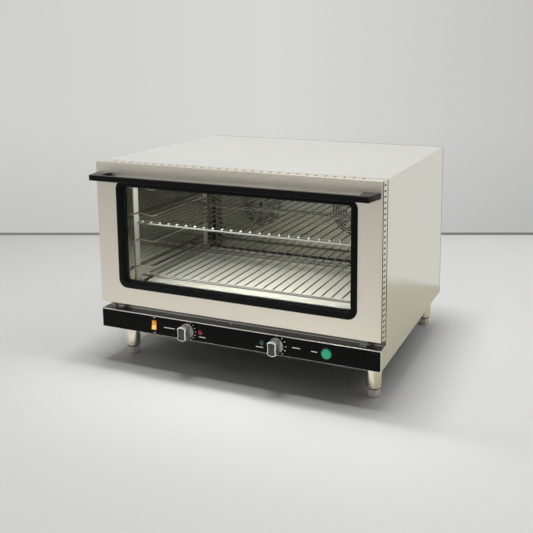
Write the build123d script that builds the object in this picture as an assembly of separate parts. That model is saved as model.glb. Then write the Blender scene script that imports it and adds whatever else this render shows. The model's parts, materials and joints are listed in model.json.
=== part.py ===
"""Countertop convection oven with a bottom-hinged glass door, in millimetres.

X runs to the right, Y to the back and Z up. The origin is the middle of the whole object's footprint,
on the surface that the four feet stand on. The door is modelled shut and the racks are in the oven.
"""

import os
from math import cos, radians, sin, sqrt

from build123d import *

# Casing
CASE_WIDTH = 812.0
CASE_HEIGHT = 467.0
CASE_DEPTH = 606.0
CASE_BEND = 2.5
SKIN = 1.2
REAR_FLANGE = 16.0
LEG_HEIGHT = 101.0
REAR_REACH = 20.0

# Clearances
RUN = 0.3
PIN_PLAY = 0.05
SEAM = 1.5

# Door
DOOR_THICKNESS = 34.0
DOOR_GAP = 20.0
DOOR_BEND = 2.5
VENT_WIDTH = 3.6
VENT_LENGTH = 16.0
VENT_INSET = 16.0
TOP_VENTS = 30
TOP_VENT_SPAN = 706.0
SIDE_VENTS = 28
SIDE_VENT_SPAN = 372.5
SIDE_VENT_DROP = 11.7
WINDOW_WIDTH = 688.0
WINDOW_HEIGHT = 299.0
WINDOW_DROP = 47.0
WINDOW_RADIUS = 20.0
GASKET_BORDER = 17.0
GASKET_LIP = 6.0
GASKET_PROUD = 2.0
GASKET_DEPTH = 4.0
GASKET_EDGE = 0.9
GLASS = 4.0
GLASS_BEARING = 9.0
SEAL_SPACE = 8.0
SEAL_WIDTH = 10.0
SEAL_OFFSET = 3.0
SEAL_ROUND = 3.0

# Handle
HANDLE_REACH = 54.0
HANDLE_DROP = 28.0
HANDLE_HEIGHT = 15.0
HANDLE_DEPTH = 10.0
HANDLE_EDGE = 1.5
HANDLE_END = 388.0
HANDLE_SPLAY = 12.0
HANDLE_FOOT = 44.0
HANDLE_SCREW_R = 2.5
HANDLE_SCREW_PITCH = 22.0

# Hinges
HINGE_X = 366.0
HINGE_PLATE = 3.0
HINGE_EYE = 6.0
HINGE_PIN_R = 3.0
HINGE_SET_BACK = 9.0
HINGE_RISE = 10.0
HINGE_LENGTH = 24.0
HINGE_FOOT = 18.0

# Control panel
PANEL_HEIGHT = 53.0
OVERLAY = 1.5
OVERLAY_MARGIN = 1.2
CONTROL_DROP = 26.3
KNOB_X = 130.5
KNOB_SKIRT_R = 20.0
KNOB_SKIRT = 6.0
KNOB_GRIP = 24.5
KNOB_GRIP_WIDTH = 27.0
KNOB_WAIST = 23.5
KNOB_GAP = 0.6
KNOB_ROUND = 1.2
SPINDLE_R = 3.0
SPINDLE_REACH = 17.0
SWITCH_X = -234.3
SWITCH_BEZEL_WIDTH = 17.5
SWITCH_BEZEL_HEIGHT = 31.0
SWITCH_BEZEL = 1.5
ROCKER_WIDTH = 13.4
ROCKER_RADIUS = 13.6
ROCKER_TILT = 8.0
ROCKER_PROUD = 2.0
ROCKER_PIVOT_DEPTH = 4.5
STEAM_X = 267.0
STEAM_BEZEL_R = 16.5
STEAM_BUTTON_R = 12.6
STEAM_BEZEL = 3.5
STEAM_PROUD = 3.0
STEAM_TRAVEL = 3.0
POWER_LAMP_X = -91.5
HEATING_LAMP_X = 89.1
LAMP_R = 5.6
LAMP_FLANGE = 1.0

# Cavity
CAVITY_WIDTH = 686.0
CAVITY_HEIGHT = 350.0
CAVITY_DEPTH = 538.0
CAVITY_DROP = 27.0
LINER = 1.2
LINER_FLANGE = 20.0
INSULATION = 22.0
BAFFLE_DEPTH = 476.0
BAFFLE_GAP = 6.0
BAFFLE_WING = 35.0
BAFFLE_WING_ANGLE = 20.0
WING_SLOT_WIDTH = 24.0
WING_SLOT = 5.0
WING_SLOT_PITCH = 15.0
FAN_X = 160.0
RING_FIRST_R = 26.4
RING_PITCH = 8.3
RING_COUNT = 6
RING_SLOT = 4.2
RING_BRIDGE = 5.0
RING_SIDES = 24
RING_BRIDGES = 4
FLOOR_PLATE_DEPTH = 86.0
FLOOR_PLATE_RISE = 15.0
FLOOR_PLATE_MARGIN = 6.0

# Racks and guides
RACK_HALF_WIDTH = 332.0
RACK_DEPTH = 428.0
RACK_ROD_R = 3.0
RACK_WIRE_R = 1.8
RACK_WIRES = 23
RACK_BITE = 0.55
RACK_CORNER = 12.0
RACK_MID_ROD = 270.0
RACK_MID_PITCH = 22.0
UPPER_RACK_SET_BACK = 26.0
LOWER_RACK_SET_BACK = 42.0
GUIDE_LEVELS = 4
GUIDE_PITCH = 76.75
GUIDE_FIRST = 44.2
GUIDE_ROD_R = 2.5
GUIDE_LEAD = 70.0
GUIDE_LEAD_RISE = 26.0
GUIDE_SHEET = 2.0
GUIDE_STRIP = 22.0
GUIDE_FRONT = 40.0
GUIDE_REAR_MARGIN = 36.0
GUIDE_START = 12.0

# Fans, elements and what stands behind the cavity
FAN_R = 62.0
FAN_DEPTH = 30.0
FAN_BLADES = 12
FAN_BLADE = 1.6
FAN_BLADE_LENGTH = 24.0
FAN_HUB_R = 12.0
FAN_CLEARANCE = 8.0
SHAFT_R = 5.0
MOTOR_R = 38.0
MOTOR_LENGTH = 54.0
MOTOR_PLATE = 92.0
ELEMENT_LOOP_R = 88.0
ELEMENT_R = 4.0
ELEMENT_GAP_ANGLE = 9.0
STANDOFF_X = 292.0
STANDOFF_Z = 100.0
STANDOFF_R = 6.0
EXHAUST_X = -250.0
EXHAUST_RISE = 300.0
EXHAUST_R = 18.0
EXHAUST_WALL = 2.0
STEAM_PIPE_R = 4.0
STEAM_PIPE_RISE = 240.0
VALVE_X = 300.0
VALVE_THREAD_R = 13.2
SERVICE_Z = 46.0
GLAND_X = -320.0
GLAND_R = 11.0
GLAND_BORE_R = 5.5

# Legs
LEG_R = 20.0
LEG_BEVEL = 2.0
LEG_SIDE_INSET = 42.0
LEG_FRONT_INSET = 45.0
LEG_REAR_INSET = 30.0
LEG_STUD_R = 5.0
LEG_STUD_LENGTH = 12.0
FOOT_RISE = 23.0
FOOT_HEX = 30.0
FOOT_TIP = 3.0
FOOT_STEM_R = 8.0
FOOT_STEM = 42.0
FOOT_TRAVEL = 20.0
SUPPORT_X = 250.0
SUPPORT_WIDTH = 30.0
SCREW_HEAD_R = 4.0
SCREW_R = 2.0

# Flat sides that round off small turned pieces
ROUND_SIDES = 32

# Places that follow from the sizes above
TOTAL_DEPTH = HANDLE_REACH + DOOR_THICKNESS + CASE_DEPTH + REAR_REACH
DOOR_FRONT_Y = -TOTAL_DEPTH / 2 + HANDLE_REACH
CASE_FRONT_Y = DOOR_FRONT_Y + DOOR_THICKNESS
CASE_BACK_Y = CASE_FRONT_Y + CASE_DEPTH
CASE_BOTTOM_Z = LEG_HEIGHT
CASE_TOP_Z = CASE_BOTTOM_Z + CASE_HEIGHT
CASE_MID_Z = CASE_BOTTOM_Z + CASE_HEIGHT / 2
INNER_HALF = CASE_WIDTH / 2 - SKIN
BASE_TOP_Z = CASE_BOTTOM_Z + SKIN
SHELF_Z = CASE_BOTTOM_Z + PANEL_HEIGHT
CONTROL_Z = SHELF_Z - CONTROL_DROP
OVERLAY_Y = DOOR_FRONT_Y - OVERLAY
HOUSING_BACK_Y = DOOR_FRONT_Y + SKIN
DOOR_BOTTOM_Z = SHELF_Z + DOOR_GAP
DOOR_HEIGHT = CASE_TOP_Z - DOOR_BOTTOM_Z
DOOR_BACK_Y = CASE_FRONT_Y - SEAM
WINDOW_Z = CASE_TOP_Z - WINDOW_DROP - WINDOW_HEIGHT / 2
OUTER_GLASS_Y = DOOR_FRONT_Y + GASKET_DEPTH
INNER_PAN_Y = CASE_FRONT_Y - SEAL_SPACE
INNER_GLASS_Y = INNER_PAN_Y - SKIN - GLASS
SIGHT_WIDTH = WINDOW_WIDTH - 2 * GASKET_BORDER
SIGHT_HEIGHT = WINDOW_HEIGHT - 2 * GASKET_BORDER
SIGHT_RADIUS = WINDOW_RADIUS - GASKET_BORDER + 5.0
CAVITY_TOP_Z = CASE_TOP_Z - CAVITY_DROP
CAVITY_FLOOR_Z = CAVITY_TOP_Z - CAVITY_HEIGHT
CAVITY_MID_Z = CAVITY_FLOOR_Z + CAVITY_HEIGHT / 2
CAVITY_HALF = CAVITY_WIDTH / 2
LINER_FRONT_Y = CASE_FRONT_Y + SKIN
CAVITY_BACK_Y = CASE_FRONT_Y + CAVITY_DEPTH
LINER_BACK_Y = CAVITY_BACK_Y + LINER
INSULATION_BACK_Y = LINER_BACK_Y + INSULATION
BAFFLE_Y = CASE_FRONT_Y + BAFFLE_DEPTH
BAFFLE_BACK_Y = BAFFLE_Y + LINER
FAN_FRONT_Y = BAFFLE_BACK_Y + FAN_CLEARANCE
FAN_BACK_Y = FAN_FRONT_Y + FAN_DEPTH
ELEMENT_Y = (BAFFLE_BACK_Y + CAVITY_BACK_Y) / 2
HANDLE_FRONT_Y = DOOR_FRONT_Y - HANDLE_REACH
HANDLE_BAR_Y = HANDLE_FRONT_Y + HANDLE_DEPTH
HANDLE_TOP_Z = CASE_TOP_Z - HANDLE_DROP
HANDLE_MID_Z = HANDLE_TOP_Z - HANDLE_HEIGHT / 2
PIVOT_Y = DOOR_FRONT_Y + HINGE_SET_BACK
PIVOT_Z = DOOR_BOTTOM_Z - HINGE_RISE
EXHAUST_Z = CAVITY_FLOOR_Z + EXHAUST_RISE
STEAM_PIPE_Z = CAVITY_FLOOR_Z + STEAM_PIPE_RISE
STEAM_PIPE_Y = INSULATION_BACK_Y + 11.0
SERVICE_AXIS_Z = CASE_BOTTOM_Z + SERVICE_Z
REAR_END_Y = CASE_BACK_Y + REAR_REACH
LEG_X = CASE_WIDTH / 2 - LEG_SIDE_INSET
LEG_FRONT_Y = CASE_FRONT_Y + LEG_FRONT_INSET
LEG_REAR_Y = CASE_BACK_Y - LEG_REAR_INSET


def block(x0, x1, y0, y1, z0, z1):
    """A box between two opposite corners."""
    return Pos((x0 + x1) / 2, (y0 + y1) / 2, (z0 + z1) / 2) * Box(x1 - x0, y1 - y0, z1 - z0)


def upright(sketch, y0, y1, x=0.0, z=0.0):
    """A flat sketch stood up facing the front, and extruded from y0 back to y1."""
    return Pos(x, y1, z) * extrude(Plane.XZ * sketch, y1 - y0)


def sideways(sketch, x0, x1):
    """A sketch drawn in Y and Z, extruded from x0 to x1."""
    return Pos(x0, 0, 0) * extrude(Plane.YZ * sketch, x1 - x0)


def bar_x(radius, x0, x1, y, z):
    """A round bar along X."""
    return Pos((x0 + x1) / 2, y, z) * Rot(0, 90, 0) * Cylinder(radius, x1 - x0)


def bar_y(radius, x, y0, y1, z):
    """A round bar along Y."""
    return Pos(x, (y0 + y1) / 2, z) * Rot(90, 0, 0) * Cylinder(radius, y1 - y0)


def prism_y(radius, sides, x, y0, y1, z):
    """A bar along Y with flat sides."""
    return upright(RegularPolygon(radius, sides), y0, y1, x=x, z=z)


def bar_z(radius, x, y, z0, z1):
    """A round bar along Z."""
    return Pos(x, y, (z0 + z1) / 2) * Cylinder(radius, z1 - z0)


def both_sides(solid):
    """A solid and its mirror image across the middle of the oven."""
    return [solid, mirror(solid, Plane.YZ)]


def spread(count, span):
    """Evenly spaced places along a span, from one end to the other, about zero."""
    return [span * (i / (count - 1) - 0.5) for i in range(count)]


def window_ring(outer_grow, inner_grow, y0, y1):
    """A ring that follows the door's window, grown from its clear sight opening."""
    outer = RectangleRounded(SIGHT_WIDTH + 2 * outer_grow, SIGHT_HEIGHT + 2 * outer_grow,
                             SIGHT_RADIUS + outer_grow)
    inner = RectangleRounded(SIGHT_WIDTH + 2 * inner_grow, SIGHT_HEIGHT + 2 * inner_grow,
                             SIGHT_RADIUS + inner_grow)
    return upright(outer - inner, y0, y1, z=WINDOW_Z)


def make_outer_wrap():
    """Top and both sides in one folded sheet, with cheeks that run forward beside the controls."""
    outer = Rectangle(CASE_WIDTH, CASE_HEIGHT)
    outer = fillet(outer.vertices().group_by(Axis.Y)[-1], CASE_BEND)
    inner = Pos(0, -SKIN / 2) * Rectangle(2 * INNER_HALF, CASE_HEIGHT - SKIN)
    wrap = upright(outer - inner, CASE_FRONT_Y, CASE_BACK_Y, z=CASE_MID_Z)
    cheek = block(INNER_HALF, CASE_WIDTH / 2, DOOR_FRONT_Y, CASE_FRONT_Y, CASE_BOTTOM_Z, SHELF_Z)
    flange_hole = Pos(0, -REAR_FLANGE / 2) * Rectangle(2 * (INNER_HALF - REAR_FLANGE),
                                                       CASE_HEIGHT - SKIN - REAR_FLANGE)
    flange = upright(inner - (Pos(0, -SKIN / 2) * flange_hole), CASE_BACK_Y - 2 * SKIN,
                     CASE_BACK_Y - SKIN, z=CASE_MID_Z)
    flange -= block(-INNER_HALF, INNER_HALF, CASE_BACK_Y - 3 * SKIN, CASE_BACK_Y, 0, BASE_TOP_Z)
    wrap += both_sides(cheek) + [flange]
    return wrap - [screw_hole(x, z) for x, z in screw_places()]


def screw_places():
    """Centres of the screws that hold the rear panel to the wrap's flange."""
    side_x = INNER_HALF - REAR_FLANGE / 2
    top_z = CASE_TOP_Z - SKIN - REAR_FLANGE / 2
    low_z = BASE_TOP_Z + REAR_FLANGE
    sides = [(side * side_x, low_z + i * (top_z - low_z) / 3) for side in (-1, 1) for i in range(4)]
    tops = [(x, top_z) for x in spread(4, 1.2 * side_x)]
    return sides + tops


def screw_hole(x, z):
    """A clearance hole for one rear screw."""
    return upright(RegularPolygon(SCREW_R + PIN_PLAY, 6), CASE_BACK_Y - 3 * SKIN, CASE_BACK_Y + SKIN,
                   x=x, z=z)


def make_casing_screws():
    """Pan-head screws around the rear panel."""
    screws = []
    for x, z in screw_places():
        shank = upright(RegularPolygon(SCREW_R, 6), CASE_BACK_Y - 8 * SKIN, CASE_BACK_Y, x=x, z=z)
        head = upright(RegularPolygon(SCREW_HEAD_R, 8), CASE_BACK_Y, CASE_BACK_Y + 2 * SKIN, x=x, z=z)
        screws.append(shank + head)
    return screws


def make_rear_panel():
    """Flat back cover with cooling louvres behind each motor and holes for the services."""
    height = CASE_HEIGHT - 2 * SKIN
    sheet = Rectangle(2 * INNER_HALF, height)
    slot = Rectangle(110, 5)
    middle = BASE_TOP_Z + height / 2
    slots = []
    for side in (-1, 1):
        for row in spread(9, 128):
            slots.append(Pos(side * FAN_X, CAVITY_MID_Z - middle + row) * slot)
    panel = upright(sheet - slots, CASE_BACK_Y - SKIN, CASE_BACK_Y, z=middle)
    holes = [bar_y(EXHAUST_R, EXHAUST_X, CASE_BACK_Y - 2 * SKIN, CASE_BACK_Y + SKIN, EXHAUST_Z),
             prism_y(GLAND_R + PIN_PLAY, 16, GLAND_X, CASE_BACK_Y - 2 * SKIN, CASE_BACK_Y + SKIN,
                     SERVICE_AXIS_Z),
             bar_y(VALVE_THREAD_R, VALVE_X, CASE_BACK_Y - 2 * SKIN, CASE_BACK_Y + SKIN, SERVICE_AXIS_Z)]
    return panel - holes - [screw_hole(x, z) for x, z in screw_places()]


def make_base_pan():
    """Bottom sheet with rolls of air slots, which carries the legs."""
    pan = block(-INNER_HALF, INNER_HALF, HOUSING_BACK_Y, CASE_BACK_Y, CASE_BOTTOM_Z, BASE_TOP_Z)
    hole = extrude(RegularPolygon(LEG_STUD_R + RUN, 12), 3 * SKIN)
    holes = [Pos(x, y, CASE_BOTTOM_Z - SKIN) * hole for x, y in leg_places()]
    slots = [block(x - 30, x + 30, y - 3, y + 3, CASE_BOTTOM_Z - SKIN, BASE_TOP_Z + SKIN)
             for x in spread(3, 360) for y in spread(5, 80)]
    return pan - holes - slots


def make_front_frame():
    """Flat face around the cavity's mouth that the door shuts against."""
    low = SHELF_Z - SKIN
    high = CASE_TOP_Z - SKIN
    sheet = Pos(0, (low + high) / 2) * Rectangle(2 * INNER_HALF, high - low)
    mouth = Pos(0, CAVITY_MID_Z) * Rectangle(CAVITY_WIDTH, CAVITY_HEIGHT)
    return upright(sheet - mouth, CASE_FRONT_Y, LINER_FRONT_Y)


def make_cavity_liner():
    """Welded box that the food cooks in, open at the front, with a fixing flange round its mouth."""
    body = block(-CAVITY_HALF - LINER, CAVITY_HALF + LINER, LINER_FRONT_Y, LINER_BACK_Y,
                 CAVITY_FLOOR_Z - LINER, CAVITY_TOP_Z + LINER)
    flange = block(-CAVITY_HALF - LINER_FLANGE, CAVITY_HALF + LINER_FLANGE, LINER_FRONT_Y,
                   LINER_FRONT_Y + LINER, CAVITY_FLOOR_Z - LINER_FLANGE, CAVITY_TOP_Z + LINER_FLANGE)
    hollow = block(-CAVITY_HALF, CAVITY_HALF, LINER_FRONT_Y - 1, CAVITY_BACK_Y,
                   CAVITY_FLOOR_Z, CAVITY_TOP_Z)
    return body + flange - hollow - wall_holes(CAVITY_BACK_Y - 1, LINER_BACK_Y + 1)


def wall_holes(y0, y1):
    """Holes through the cavity's back wall for shafts, element leads, steam and exhaust."""
    holes = [prism_y(SHAFT_R + 3 * RUN, 16, side * FAN_X, y0, y1, CAVITY_MID_Z) for side in (-1, 1)]
    holes += [prism_y(ELEMENT_R + 2 * RUN, 8, x, y0, y1, z) for x, z in element_leads()]
    holes.append(prism_y(STEAM_PIPE_R + 2 * RUN, 8, 0, y0, y1, STEAM_PIPE_Z))
    holes.append(bar_y(EXHAUST_R - EXHAUST_WALL, EXHAUST_X, y0, y1, EXHAUST_Z))
    return holes


def make_insulation():
    """Mineral wool blanket around the cavity box, with openings for all that passes through."""
    front = LINER_FRONT_Y + LINER
    wool = block(-CAVITY_HALF - LINER - INSULATION, CAVITY_HALF + LINER + INSULATION,
                 front, INSULATION_BACK_Y, CAVITY_FLOOR_Z - LINER - INSULATION,
                 CAVITY_TOP_Z + LINER + INSULATION)
    core = block(-CAVITY_HALF - LINER, CAVITY_HALF + LINER, front - 1, LINER_BACK_Y,
                 CAVITY_FLOOR_Z - LINER, CAVITY_TOP_Z + LINER)
    y0 = LINER_BACK_Y - 1
    y1 = INSULATION_BACK_Y + 1
    holes = [block(side * FAN_X - MOTOR_PLATE / 2 - 1, side * FAN_X + MOTOR_PLATE / 2 + 1, y0, y1,
                   CAVITY_MID_Z - MOTOR_PLATE / 2 - 1, CAVITY_MID_Z + MOTOR_PLATE / 2 + 1)
             for side in (-1, 1)]
    holes += [prism_y(ELEMENT_R + 2, 8, x, y0, y1, z) for x, z in element_leads()]
    holes.append(prism_y(STEAM_PIPE_R + 2 * RUN, 8, 0, y0, y1, STEAM_PIPE_Z))
    holes.append(bar_y(EXHAUST_R, EXHAUST_X, y0, y1, EXHAUST_Z))
    return wool - core - holes


def make_cavity_supports():
    """Two folded channels on the base pan that carry the cavity."""
    top = CAVITY_FLOOR_Z - LINER - INSULATION
    half = SUPPORT_WIDTH / 2
    y0 = CASE_FRONT_Y + 60
    y1 = CASE_BACK_Y - 60
    rails = []
    for x in (-SUPPORT_X, SUPPORT_X):
        rail = block(x - half, x + half, y0, y1, BASE_TOP_Z, top)
        rail -= block(x - half + SKIN, x + half + SKIN, y0 - 1, y1 + 1, BASE_TOP_Z + SKIN, top - SKIN)
        rails.append(rail)
    return rails


def ring_slots():
    """One grille of concentric slots, each cut into arcs by the spokes between them."""
    rings = Sketch()
    for i in range(RING_COUNT):
        radius = RING_FIRST_R + i * RING_PITCH
        outer = RegularPolygon(radius + RING_SLOT / 2, RING_SIDES)
        ring = outer - RegularPolygon(radius - RING_SLOT / 2, RING_SIDES)
        rings += Rot(0, 0, 180 / RING_SIDES) * ring
    reach = 2 * (RING_FIRST_R + RING_COUNT * RING_PITCH)
    step = 180 / RING_BRIDGES
    spokes = [Rot(0, 0, step * (i + 0.5)) * Rectangle(reach, RING_BRIDGE) for i in range(RING_BRIDGES)]
    return rings - spokes


def standoff_places():
    """Centres of the studs that hold the baffle off the back wall."""
    return [(x, CAVITY_MID_Z + z) for x in (-STANDOFF_X, STANDOFF_X) for z in (-STANDOFF_Z, STANDOFF_Z)]


def make_fan_baffle():
    """Inner back panel with two slotted fan grilles and bent wings with outlet slots."""
    low = CAVITY_FLOOR_Z + FLOOR_PLATE_RISE + BAFFLE_GAP
    high = CAVITY_TOP_Z - BAFFLE_GAP
    middle = (low + high) / 2
    bend = radians(BAFFLE_WING_ANGLE)
    flat_half = CAVITY_HALF - BAFFLE_GAP - BAFFLE_WING * cos(bend)
    sheet = Rectangle(2 * flat_half, high - low)
    grilles = [Pos(side * FAN_X, CAVITY_MID_Z - middle) * ring_slots() for side in (-1, 1)]
    grilles += [Pos(side * FAN_X, CAVITY_MID_Z - middle) * RegularPolygon(SHAFT_R + 2, 16) for side in (-1, 1)]
    grilles += [Pos(x, z - middle) * RegularPolygon(STANDOFF_R - 2 + RUN, 6)
                for x, z in standoff_places()]
    panel = upright(sheet - grilles, BAFFLE_Y, BAFFLE_BACK_Y, z=middle)
    rows = int((high - low) / WING_SLOT_PITCH) - 1
    slots = [Pos(0, z) * Rectangle(WING_SLOT_WIDTH, WING_SLOT)
             for z in spread(rows, (rows - 1) * WING_SLOT_PITCH)]
    wing = upright(Rectangle(BAFFLE_WING, high - low) - slots, 0, LINER)
    wing = Pos(BAFFLE_WING / 2 - LINER * sin(bend) / 2, 0, 0) * wing
    wing = Pos(flat_half, BAFFLE_Y, middle) * Rot(0, 0, BAFFLE_WING_ANGLE) * wing
    return panel + both_sides(wing)


def make_baffle_standoffs():
    """Shouldered studs from the back wall, with round nuts in front of the baffle."""
    studs = []
    for x, z in standoff_places():
        stud = upright(RegularPolygon(STANDOFF_R, 6), BAFFLE_BACK_Y, CAVITY_BACK_Y, x=x, z=z)
        stud += upright(RegularPolygon(STANDOFF_R - 2, 6), BAFFLE_Y, BAFFLE_BACK_Y, x=x, z=z)
        nut = upright(RegularPolygon(STANDOFF_R + 2, 6), BAFFLE_Y - 4, BAFFLE_Y, x=x, z=z)
        studs.append(stud + nut)
    return studs


def make_floor_plate():
    """Raised removable plate over the cavity floor, folded down on all four sides."""
    half = CAVITY_HALF - FLOOR_PLATE_MARGIN
    top = CAVITY_FLOOR_Z + FLOOR_PLATE_RISE
    y0 = CASE_FRONT_Y + FLOOR_PLATE_DEPTH
    y1 = BAFFLE_Y - FLOOR_PLATE_MARGIN
    plate = block(-half, half, y0, y1, CAVITY_FLOOR_Z, top)
    plate = fillet(plate.edges().group_by(Axis.Z)[-1].group_by(Axis.Y)[0], 3 * LINER)
    plate -= block(-half + LINER, half - LINER, y0 + LINER, y1 - LINER, CAVITY_FLOOR_Z - 1, top - LINER)
    notch = block(-4, 4, y0 - 1, y0 + 2 * LINER, CAVITY_FLOOR_Z - 1, CAVITY_FLOOR_Z + 4)
    return plate - notch


def guide_tops():
    """Heights of the ledges that the racks slide on."""
    return [CAVITY_FLOOR_Z + GUIDE_FIRST + i * GUIDE_PITCH for i in range(GUIDE_LEVELS)]


def make_rack_guide(side):
    """One side's rack carrier: two uprights on the wall, and a bent wire rail for each level."""
    front = CASE_FRONT_Y + GUIDE_FRONT
    rear = BAFFLE_Y - GUIDE_REAR_MARGIN - GUIDE_STRIP
    face = CAVITY_HALF - GUIDE_SHEET
    top = CAVITY_TOP_Z - GUIDE_SHEET
    guide = Part()
    for y in (front, rear):
        guide += block(face, CAVITY_HALF, y, y + GUIDE_STRIP, CAVITY_FLOOR_Z, top)
    outer_x = face - GUIDE_ROD_R * 0.8
    inner_x = RACK_HALF_WIDTH + GUIDE_ROD_R / 2
    for ledge in guide_tops():
        z = ledge - GUIDE_ROD_R
        high = z + GUIDE_LEAD_RISE
        lead_end = front + GUIDE_STRIP + GUIDE_LEAD
        path = Polyline((outer_x, front - GUIDE_START, high), (outer_x, front + GUIDE_STRIP, high),
                        (outer_x, lead_end, z), (inner_x, lead_end + GUIDE_START, z),
                        (inner_x, rear - GUIDE_START, z), (outer_x, rear, z),
                        (outer_x, rear + GUIDE_STRIP, z))
        section = Plane(origin=path @ 0, z_dir=path % 0) * RegularPolygon(GUIDE_ROD_R, 6)
        guide += sweep(section, path=path, transition=Transition.RIGHT)
    if side < 0:
        return mirror(guide, Plane.YZ)
    return guide


def make_rack(set_back, level):
    """Welded wire rack: a rod loop, wires on top of it, and two stiffening rods under the wires."""
    z = guide_tops()[level] + RUN + RACK_ROD_R
    y0 = CASE_FRONT_Y + set_back
    y1 = y0 + RACK_DEPTH
    loop = Rectangle(2 * RACK_HALF_WIDTH, RACK_DEPTH)
    loop = chamfer(loop.vertices(), RACK_CORNER)
    path = Pos(0, (y0 + y1) / 2, z) * loop.wire()
    section = Plane(origin=path @ 0, z_dir=path % 0) * RegularPolygon(RACK_ROD_R, 8, major_radius=False)
    rack = sweep(section, path=path, transition=Transition.RIGHT)
    for offset in (RACK_MID_ROD, RACK_MID_ROD + RACK_MID_PITCH):
        rod = sideways(Pos(y0 + offset, z) * Rectangle(2 * RACK_ROD_R, 2 * RACK_ROD_R),
                       -RACK_HALF_WIDTH, RACK_HALF_WIDTH)
        rack += chamfer(rod.edges().filter_by(Axis.X), RACK_ROD_R / 2)
    wire = RegularPolygon(RACK_WIRE_R, 6, major_radius=False)
    wire = upright(Rot(0, 0, 30) * wire, y0 - RACK_ROD_R, y1 + RACK_ROD_R,
                   z=z + RACK_ROD_R + RACK_WIRE_R - RACK_BITE)
    pitch = 2 * RACK_HALF_WIDTH / (RACK_WIRES + 1)
    wires = [Pos(x, 0, 0) * wire for x in spread(RACK_WIRES, (RACK_WIRES - 1) * pitch)]
    return rack + wires


def make_door_outer_frame():
    """Folded outer door pan: window, and perforated flanges along the top and both sides."""
    half = CASE_WIDTH / 2
    outline = Rectangle(CASE_WIDTH, DOOR_HEIGHT)
    outline = fillet(outline.vertices(), DOOR_BEND)
    pan = upright(outline, DOOR_FRONT_Y, DOOR_BACK_Y, z=(DOOR_BOTTOM_Z + CASE_TOP_Z) / 2)
    pan = fillet(pan.edges().group_by(Axis.Y)[0], DOOR_BEND * 0.8)
    pan -= block(-half + SKIN, half - SKIN, DOOR_FRONT_Y + SKIN, DOOR_BACK_Y + 1,
                 DOOR_BOTTOM_Z + SKIN, CASE_TOP_Z - SKIN)
    pan -= block(-half + SKIN, half - SKIN, INNER_PAN_Y, DOOR_BACK_Y + 1, DOOR_BOTTOM_Z - 1,
                 DOOR_BOTTOM_Z + 2 * SKIN)
    grow = GASKET_BORDER - GASKET_LIP
    opening = RectangleRounded(SIGHT_WIDTH + 2 * grow, SIGHT_HEIGHT + 2 * grow, SIGHT_RADIUS + grow)
    pan -= upright(opening, DOOR_FRONT_Y - 1, DOOR_FRONT_Y + 2 * SKIN, z=WINDOW_Z)
    vent_y = DOOR_FRONT_Y + VENT_INSET
    y0 = vent_y - VENT_LENGTH / 2
    y1 = vent_y + VENT_LENGTH / 2
    vents = [block(x - VENT_WIDTH / 2, x + VENT_WIDTH / 2, y0, y1, CASE_TOP_Z - 2 * SKIN, CASE_TOP_Z + 1)
             for x in spread(TOP_VENTS, TOP_VENT_SPAN)]
    middle = CASE_TOP_Z - SIDE_VENT_DROP - SIDE_VENT_SPAN / 2
    for z in spread(SIDE_VENTS, SIDE_VENT_SPAN):
        low = middle + z - VENT_WIDTH / 2
        vents.append(block(-half - 1, -half + 2 * SKIN, y0, y1, low, low + VENT_WIDTH))
        vents.append(block(half - 2 * SKIN, half + 1, y0, y1, low, low + VENT_WIDTH))
    screws = [prism_y(HANDLE_SCREW_R + PIN_PLAY, 6, x, DOOR_FRONT_Y - 1, DOOR_FRONT_Y + 2 * SKIN,
                      HANDLE_MID_Z) for x in handle_screw_places()]
    return pan - vents - screws


def make_door_inner_frame():
    """Inner door pan, set into the outer one, with a smaller window."""
    half = CASE_WIDTH / 2 - SKIN
    low = DOOR_BOTTOM_Z + SKIN
    high = CASE_TOP_Z - SKIN
    pan = block(-half, half, OUTER_GLASS_Y, INNER_PAN_Y, low, high)
    pan -= block(-half + SKIN, half - SKIN, OUTER_GLASS_Y - 1, INNER_PAN_Y - SKIN, low + SKIN, high - SKIN)
    opening = RectangleRounded(SIGHT_WIDTH, SIGHT_HEIGHT, SIGHT_RADIUS)
    pan -= upright(opening, INNER_PAN_Y - 2 * SKIN, INNER_PAN_Y + 1, z=WINDOW_Z)
    vents = []
    y0 = DOOR_FRONT_Y + VENT_INSET - VENT_LENGTH / 2 + 1
    for z in (low - 1, high - 2 * SKIN):
        vents.append(block(-TOP_VENT_SPAN / 2, TOP_VENT_SPAN / 2, y0, y0 + VENT_LENGTH - 2, z, z + 3 * SKIN))
    return pan - vents


def make_window_gasket():
    """Black rubber border of the window: a lip on the face and a web inside the cut-out."""
    lip = window_ring(GASKET_BORDER, 0, DOOR_FRONT_Y - GASKET_PROUD, DOOR_FRONT_Y)
    lip = chamfer(lip.edges().group_by(Axis.Y)[0], GASKET_EDGE)
    web = window_ring(GASKET_BORDER - GASKET_LIP, 0, DOOR_FRONT_Y, OUTER_GLASS_Y)
    return lip + web


def make_pane(y0):
    """One pane of the door's double glazing."""
    pane = RectangleRounded(SIGHT_WIDTH + 2 * GLASS_BEARING, SIGHT_HEIGHT + 2 * GLASS_BEARING,
                            SIGHT_RADIUS)
    return upright(pane, y0, y0 + GLASS, z=WINDOW_Z)


def make_glass_spacer():
    """Channel between the two panes, which holds both in place."""
    return window_ring(GLASS_BEARING, GLASS_BEARING / 3, OUTER_GLASS_Y + GLASS, INNER_GLASS_Y)


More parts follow.
